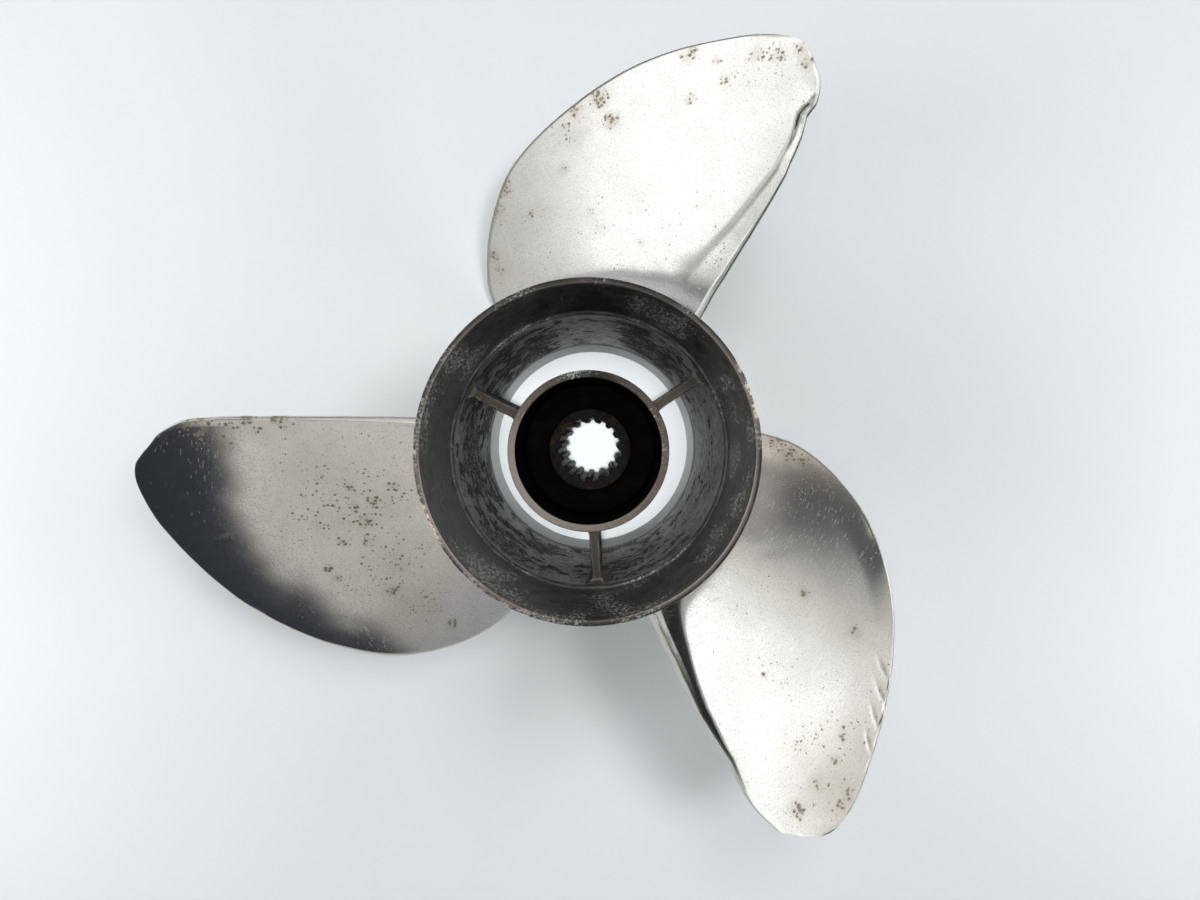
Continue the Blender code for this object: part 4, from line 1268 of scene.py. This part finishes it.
def blade_wear(form, index, points, turn):
    """How rust-stained and how scuffed each of a blade's points is."""
    ragged = 0.5 * lumps(points, 3.0 * MM, 41) + 0.35 * lumps(points, 1.4 * MM, 42)
    span = (np.hypot(points[:, 0], points[:, 1]) - form.hub.barrel_aft)
    span /= form.blade.tip_radius - form.hub.barrel_aft
    pitting = read(PITTING[index], span)
    stain = pitting * (smooth(lumps(points, 26 * MM, 43 + index) * 1.1 - 0.15) * 0.18 + 0.06)
    for span, sweep, reach, strength in RUST_PATCHES[index]:
        place = form.place(np.array(span), np.array(sweep), 0.0, 0.0, 0.0)
        centre = Matrix.Rotation(turn, 3, "Z") @ Vector(place.tolist())
        away = np.linalg.norm(points - np.array(centre), axis=1) / (1.4 * reach * MM)
        stain = np.maximum(stain, strength * smooth(1.15 - away + 0.35 * ragged))
    scuff = unit(ragged) * 0.2
    return {"stain": unit(stain), "scuff": scuff, "pitting": pitting}


# Stage

FOCAL = 27.16
SENSOR = 36.0
EYE = (6.2 * MM, 7.3 * MM, 386.9 * MM)
VIEW_RIGHT = (1.0, 0.0, -0.00589)
VIEW_BACK = (0.00589, 0.0208, 0.99977)

# Brightness of the room round the propeller, as (azimuth in degrees, tint, strength)
ROOM_RING = (
    (332, "F4F6FF", 0.45), (350, "FFFFFF", 0.8), (3, "FFFFFF", 1.4), (12, "FFFFFF", 1.7),
    (26, "FFFFFF", 1.7), (33, "FFFFFF", 1.4), (39, "FFFEFA", 1.1), (45, "FFFCF6", 0.85),
    (50, "FFFCF8", 0.62), (55, "FCFCFA", 0.38), (60, "F8FAFC", 0.21), (68, "F8F8F8", 0.14),
    (74, "FFF8F0", 0.25), (80, "FFF6EA", 0.86), (95, "FFF8F0", 0.75), (120, "FFFDFA", 0.95),
    (133, "FFFFFF", 1.3), (141, "FFFFFF", 1.7), (160, "FFFFFF", 1.7), (168, "FFFFFF", 1.55),
    (174, "FFFFFF", 1.25), (183, "FFFFFD", 0.97), (194, "FFFEFA", 0.8), (225, "FFFAF5", 0.7),
    (250, "FFFAF5", 0.78), (277, "FFFAF5", 0.72), (290, "FFFAF5", 0.66), (300, "FFF9F1", 0.55),
    (312, "F8F9FF", 0.46),
)
RING_START = 330
BACKDROP = "E4E8EA"

# Patches that the ring doesn't hold, as (name, azimuth, half width, lowest and highest elevation,
# soft edge in degrees, colour, strength)
ROOM_PATCHES = (
    ("low_left", 133, 11, -40, 3, 3, "FFFDF6", 0.66), ("low_right", 64, 11, -40, 10, 6, "FFFAF4", 0.46),
    ("low_front", 262, 22, -40, 3, 3, "FFFAF5", 0.76), ("high_right", 28, 14, 39, 66, 5, "FFFAF2", 1),
    ("dark_right", 72, 9, 27, 56, 4, "F8F8F8", 0.15), ("dark_front", 275, 40, 33.5, 84, 2, "3A4048", 0.8),
    ("dark_front_left", 250, 11, 32.3, 84, 2, "3A4048", 0.8),
    ("dark_front_right", 291, 10, 30.5, 84, 2.5, "3A4048", 0.8),
    ("dark_front_end", 301, 6, 27.5, 84, 3, "3A4048", 0.9),
    ("ceiling", 0, 200, 72, 120, 8, "F2F4F6", 0.95),
)

# Lights for the floor and the hub, as (name, azimuth, elevation, distance, width and height in
# metres, watts)
SOFTBOXES = (
    ("softbox_above", 90, 86, 2, 2.6, 2.6, 9.9), ("softbox_key", 76, 62, 1.6, 0.5, 0.5, 4.5),
    ("softbox_high", 22, 66, 1.6, 0.4, 0.4, 8.5), ("softbox_left", 190, 34, 2.5, 1.2, 1.2, 7),
    ("softbox_right", 5, 34, 2.5, 1.2, 1.2, 6.3), ("strip_left", 186, 24, 0.6, 0.5, 0.1, 1.4),
    ("strip_right", 356, 24, 0.6, 0.5, 0.1, 1.1), ("strip_behind", 136, 25, 1.15, 0.5, 0.2, 2.5),
)
SNOOT_WATTS = 97
SNOOT_PLACE = (0, 0, 1.3)

# The paper's corners, and dark cards that lie out of the picture and paint dark reflections into
# the steel, as (name, low corner, high corner), in metres
FLOOR_LOW, FLOOR_HIGH = (-3, -0.5), (3, 3)
DARK_REFLECTION_CARDS = (
    ("dark_reflection_card_right", (0.22, -0.3), (0.85, 0.25)),
    ("dark_reflection_card_behind", (-0.42, 0.27), (0.35, 0.5)),
)


def make_camera(context):
    data = bpy.data.cameras.new("camera")
    data.lens = FOCAL
    data.sensor_width = SENSOR
    data.clip_start = 0.01
    camera = bpy.data.objects.new("camera", data)
    back = Vector(VIEW_BACK).normalized()
    up = back.cross(Vector(VIEW_RIGHT)).normalized()
    right = up.cross(back)
    camera.matrix_world = Matrix.Translation(EYE) @ Matrix((right, up, back)).transposed().to_4x4()
    context.scene.collection.objects.link(camera)
    context.scene.camera = camera


def lay_sheet(context, name, low, high, z, material):
    """A level rectangle of the stage from its low to its high corner."""
    corners = [(low[0], low[1], z), (high[0], low[1], z), (high[0], high[1], z), (low[0], high[1], z)]
    data = bpy.data.meshes.new(name)
    data.from_pydata(corners, [], [(0, 1, 2, 3)])
    data.materials.append(material)
    sheet = bpy.data.objects.new(name, data)
    context.scene.collection.objects.link(sheet)
    return sheet


def make_floor(context):
    lay_sheet(context, "studio_floor", FLOOR_LOW, FLOOR_HIGH, HUB_LOW.z, studio_paper())
    # Only mirrors see the dark cards, which lie out of the picture and paint dark reflections into the steel
    for name, low, high in DARK_REFLECTION_CARDS:
        table = lay_sheet(context, name, low, high, HUB_LOW.z + MM, moulded_rubber())
        table.visible_camera = table.visible_diffuse = table.visible_shadow = False


def towards(azimuth, elevation):
    flat, turn = math.cos(math.radians(elevation)), math.radians(azimuth)
    return Vector((flat * math.cos(turn), flat * math.sin(turn), math.sin(math.radians(elevation))))


def make_light(context, data, place):
    """A light that points at the hub and stays out of sight and out of mirrors."""
    lamp = bpy.data.objects.new(data.name, data)
    lamp.location = place
    lamp.rotation_mode = "QUATERNION"
    lamp.rotation_quaternion = place.to_track_quat("Z", "Y")
    lamp.visible_camera = lamp.visible_glossy = False
    context.scene.collection.objects.link(lamp)


def make_lights(context):
    for name, azimuth, elevation, distance, width, tall, watts in SOFTBOXES:
        data = bpy.data.lights.new(name, "AREA")
        data.shape = "ELLIPSE"
        data.size, data.size_y = width, tall
        data.energy = watts
        make_light(context, data, towards(azimuth, elevation) * distance)
    # A narrow lamp straight over the hub, whose light falls through it onto the floor
    data = bpy.data.lights.new("snoot_above", "SPOT")
    data.energy = SNOOT_WATTS
    data.spot_size = math.radians(5.0)
    data.spot_blend = 0.15
    data.shadow_soft_size = 0.03
    make_light(context, data, Vector(SNOOT_PLACE))


def lit(tint, strength):
    """A colour of the room at this strength."""
    return (*(share * strength for share in linear(tint)[:3]), 1.0)


def make_room(context):
    """The pale room that the steel mirrors: a soft ring of light and shade, and some patches."""
    world = bpy.data.worlds.new("studio_room")
    world.use_nodes = True
    context.scene.world = world
    world.cycles_visibility.diffuse = False
    world.node_tree.nodes.clear()
    node = functools.partial(add_node, world.node_tree)
    facing = node("TexCoord").outputs["Generated"]
    start = math.radians(180 - RING_START)
    turned = node("Mapping", {"Vector": facing, "Rotation": (0.0, 0.0, start)})
    split = node("SeparateXYZ", (turned,))
    angle = node("Math", (split.outputs[1], split.outputs[0]), operation="ARCTAN2")
    share = node("MapRange", (angle, -math.pi, math.pi))
    ring = node("ValToRGB", {"Fac": share})
    ramp = ring.color_ramp
    stops = sorted(((azimuth - RING_START) % 360 / 360, *light) for azimuth, *light in ROOM_RING)
    for index, (stop, tint, strength) in enumerate(stops):
        element = ramp.elements[index] if index < 2 else ramp.elements.new(stop)
        element.position = stop
        element.color = lit(tint, strength)
    light = ring.outputs["Color"]

    flat = node("VectorMath", (facing, (1.0, 1.0, 0.0)), operation="MULTIPLY")
    flat = node("VectorMath", (flat,), operation="NORMALIZE")
    upward = node("SeparateXYZ", (facing,)).outputs[2]
    rise = node("Math", (upward,), operation="ARCSINE")
    for name, azimuth, half, low, high, soft, tint, strength in ROOM_PATCHES:
        nearness = node("VectorMath", (flat, towards(azimuth, 0)), operation="DOT_PRODUCT")
        narrow, broad = min(179, max(0, half - soft)), min(180, half + soft)
        wide, above, below = (
            node("MapRange", (value, *reach), interpolation_type="SMOOTHSTEP") for value, reach in (
                (nearness.outputs["Value"], [math.cos(math.radians(at)) for at in (broad, narrow)]),
                (rise, [math.radians(at) for at in (low - soft, low + soft)]),
                (rise, [*(math.radians(at) for at in (high - soft, high + soft)), 1.0, 0.0]),
            ))
        patch = node("Math", (above, below), operation="MULTIPLY")
        patch = node("Math", (patch, wide), operation="MULTIPLY")
        patch.label = name
        light = node("Mix", {"Factor": patch, "A": light, "B": lit(tint, strength)}, data_type="RGBA")
    seen = node("LightPath").outputs["Is Camera Ray"]
    shown = node("Mix", {"Factor": seen, "A": light, "B": linear(BACKDROP)}, data_type="RGBA")
    background = node("Background", {"Color": shown, "Strength": 1.0})
    node("OutputWorld", {"Surface": background})


class PROPELLER_OT_stage(bpy.types.Operator):
    """Sets the camera over the propeller, the pale floor under it and the soft light round it"""

    bl_idname = "propeller.stage"
    bl_label = "Stage"

    def execute(self, context):
        make_camera(context)
        make_floor(context)
        make_room(context)
        make_lights(context)
        context.scene.view_settings.view_transform = "Standard"
        return {"FINISHED"}


OPERATORS = (
    PROPELLER_OT_stage, PROPELLER_OT_outer_hub, PROPELLER_OT_inner_hub, PROPELLER_OT_webs,
    PROPELLER_OT_rubber, PROPELLER_OT_sleeve, PROPELLER_OT_blades,
)


class PROPELLER_PT_panel(bpy.types.Panel):
    """Lists the propeller's pieces and its sizes"""

    bl_idname = "PROPELLER_PT_panel"
    bl_label = "Ship Propeller"
    bl_space_type = "VIEW_3D"
    bl_region_type = "UI"
    bl_category = "Propeller"

    def draw(self, context):
        for operator in OPERATORS:
            self.layout.operator(operator.bl_idname)
        for name in GROUPS:
            group = getattr(context.scene, name)
            box = self.layout.box()
            box.label(text=group.bl_rna.description)
            for key in group.__annotations__:
                box.prop(group, key)


CLASSES = (*OPERATORS, PROPELLER_PT_panel)
GROUPS = {
    "propeller_hub": HubSizes, "propeller_sleeve": SleeveSizes, "propeller_blades": BladeSizes,
    "propeller_colours": FinishColours,
}


def register():
    for name, group in GROUPS.items():
        bpy.utils.register_class(group)
        setattr(bpy.types.Scene, name, bpy.props.PointerProperty(type=group))
    for shown in CLASSES:
        bpy.utils.register_class(shown)


def unregister():
    for shown in reversed(CLASSES):
        bpy.utils.unregister_class(shown)
    for name, group in reversed(GROUPS.items()):
        delattr(bpy.types.Scene, name)
        bpy.utils.unregister_class(group)


def main():
    register()
    bpy.ops.propeller.stage()
    bpy.ops.propeller.outer_hub()
    bpy.ops.propeller.inner_hub()
    bpy.ops.propeller.webs()
    bpy.ops.propeller.rubber()
    bpy.ops.propeller.sleeve()
    bpy.ops.propeller.blades()


if __name__ == "__main__":
    main()
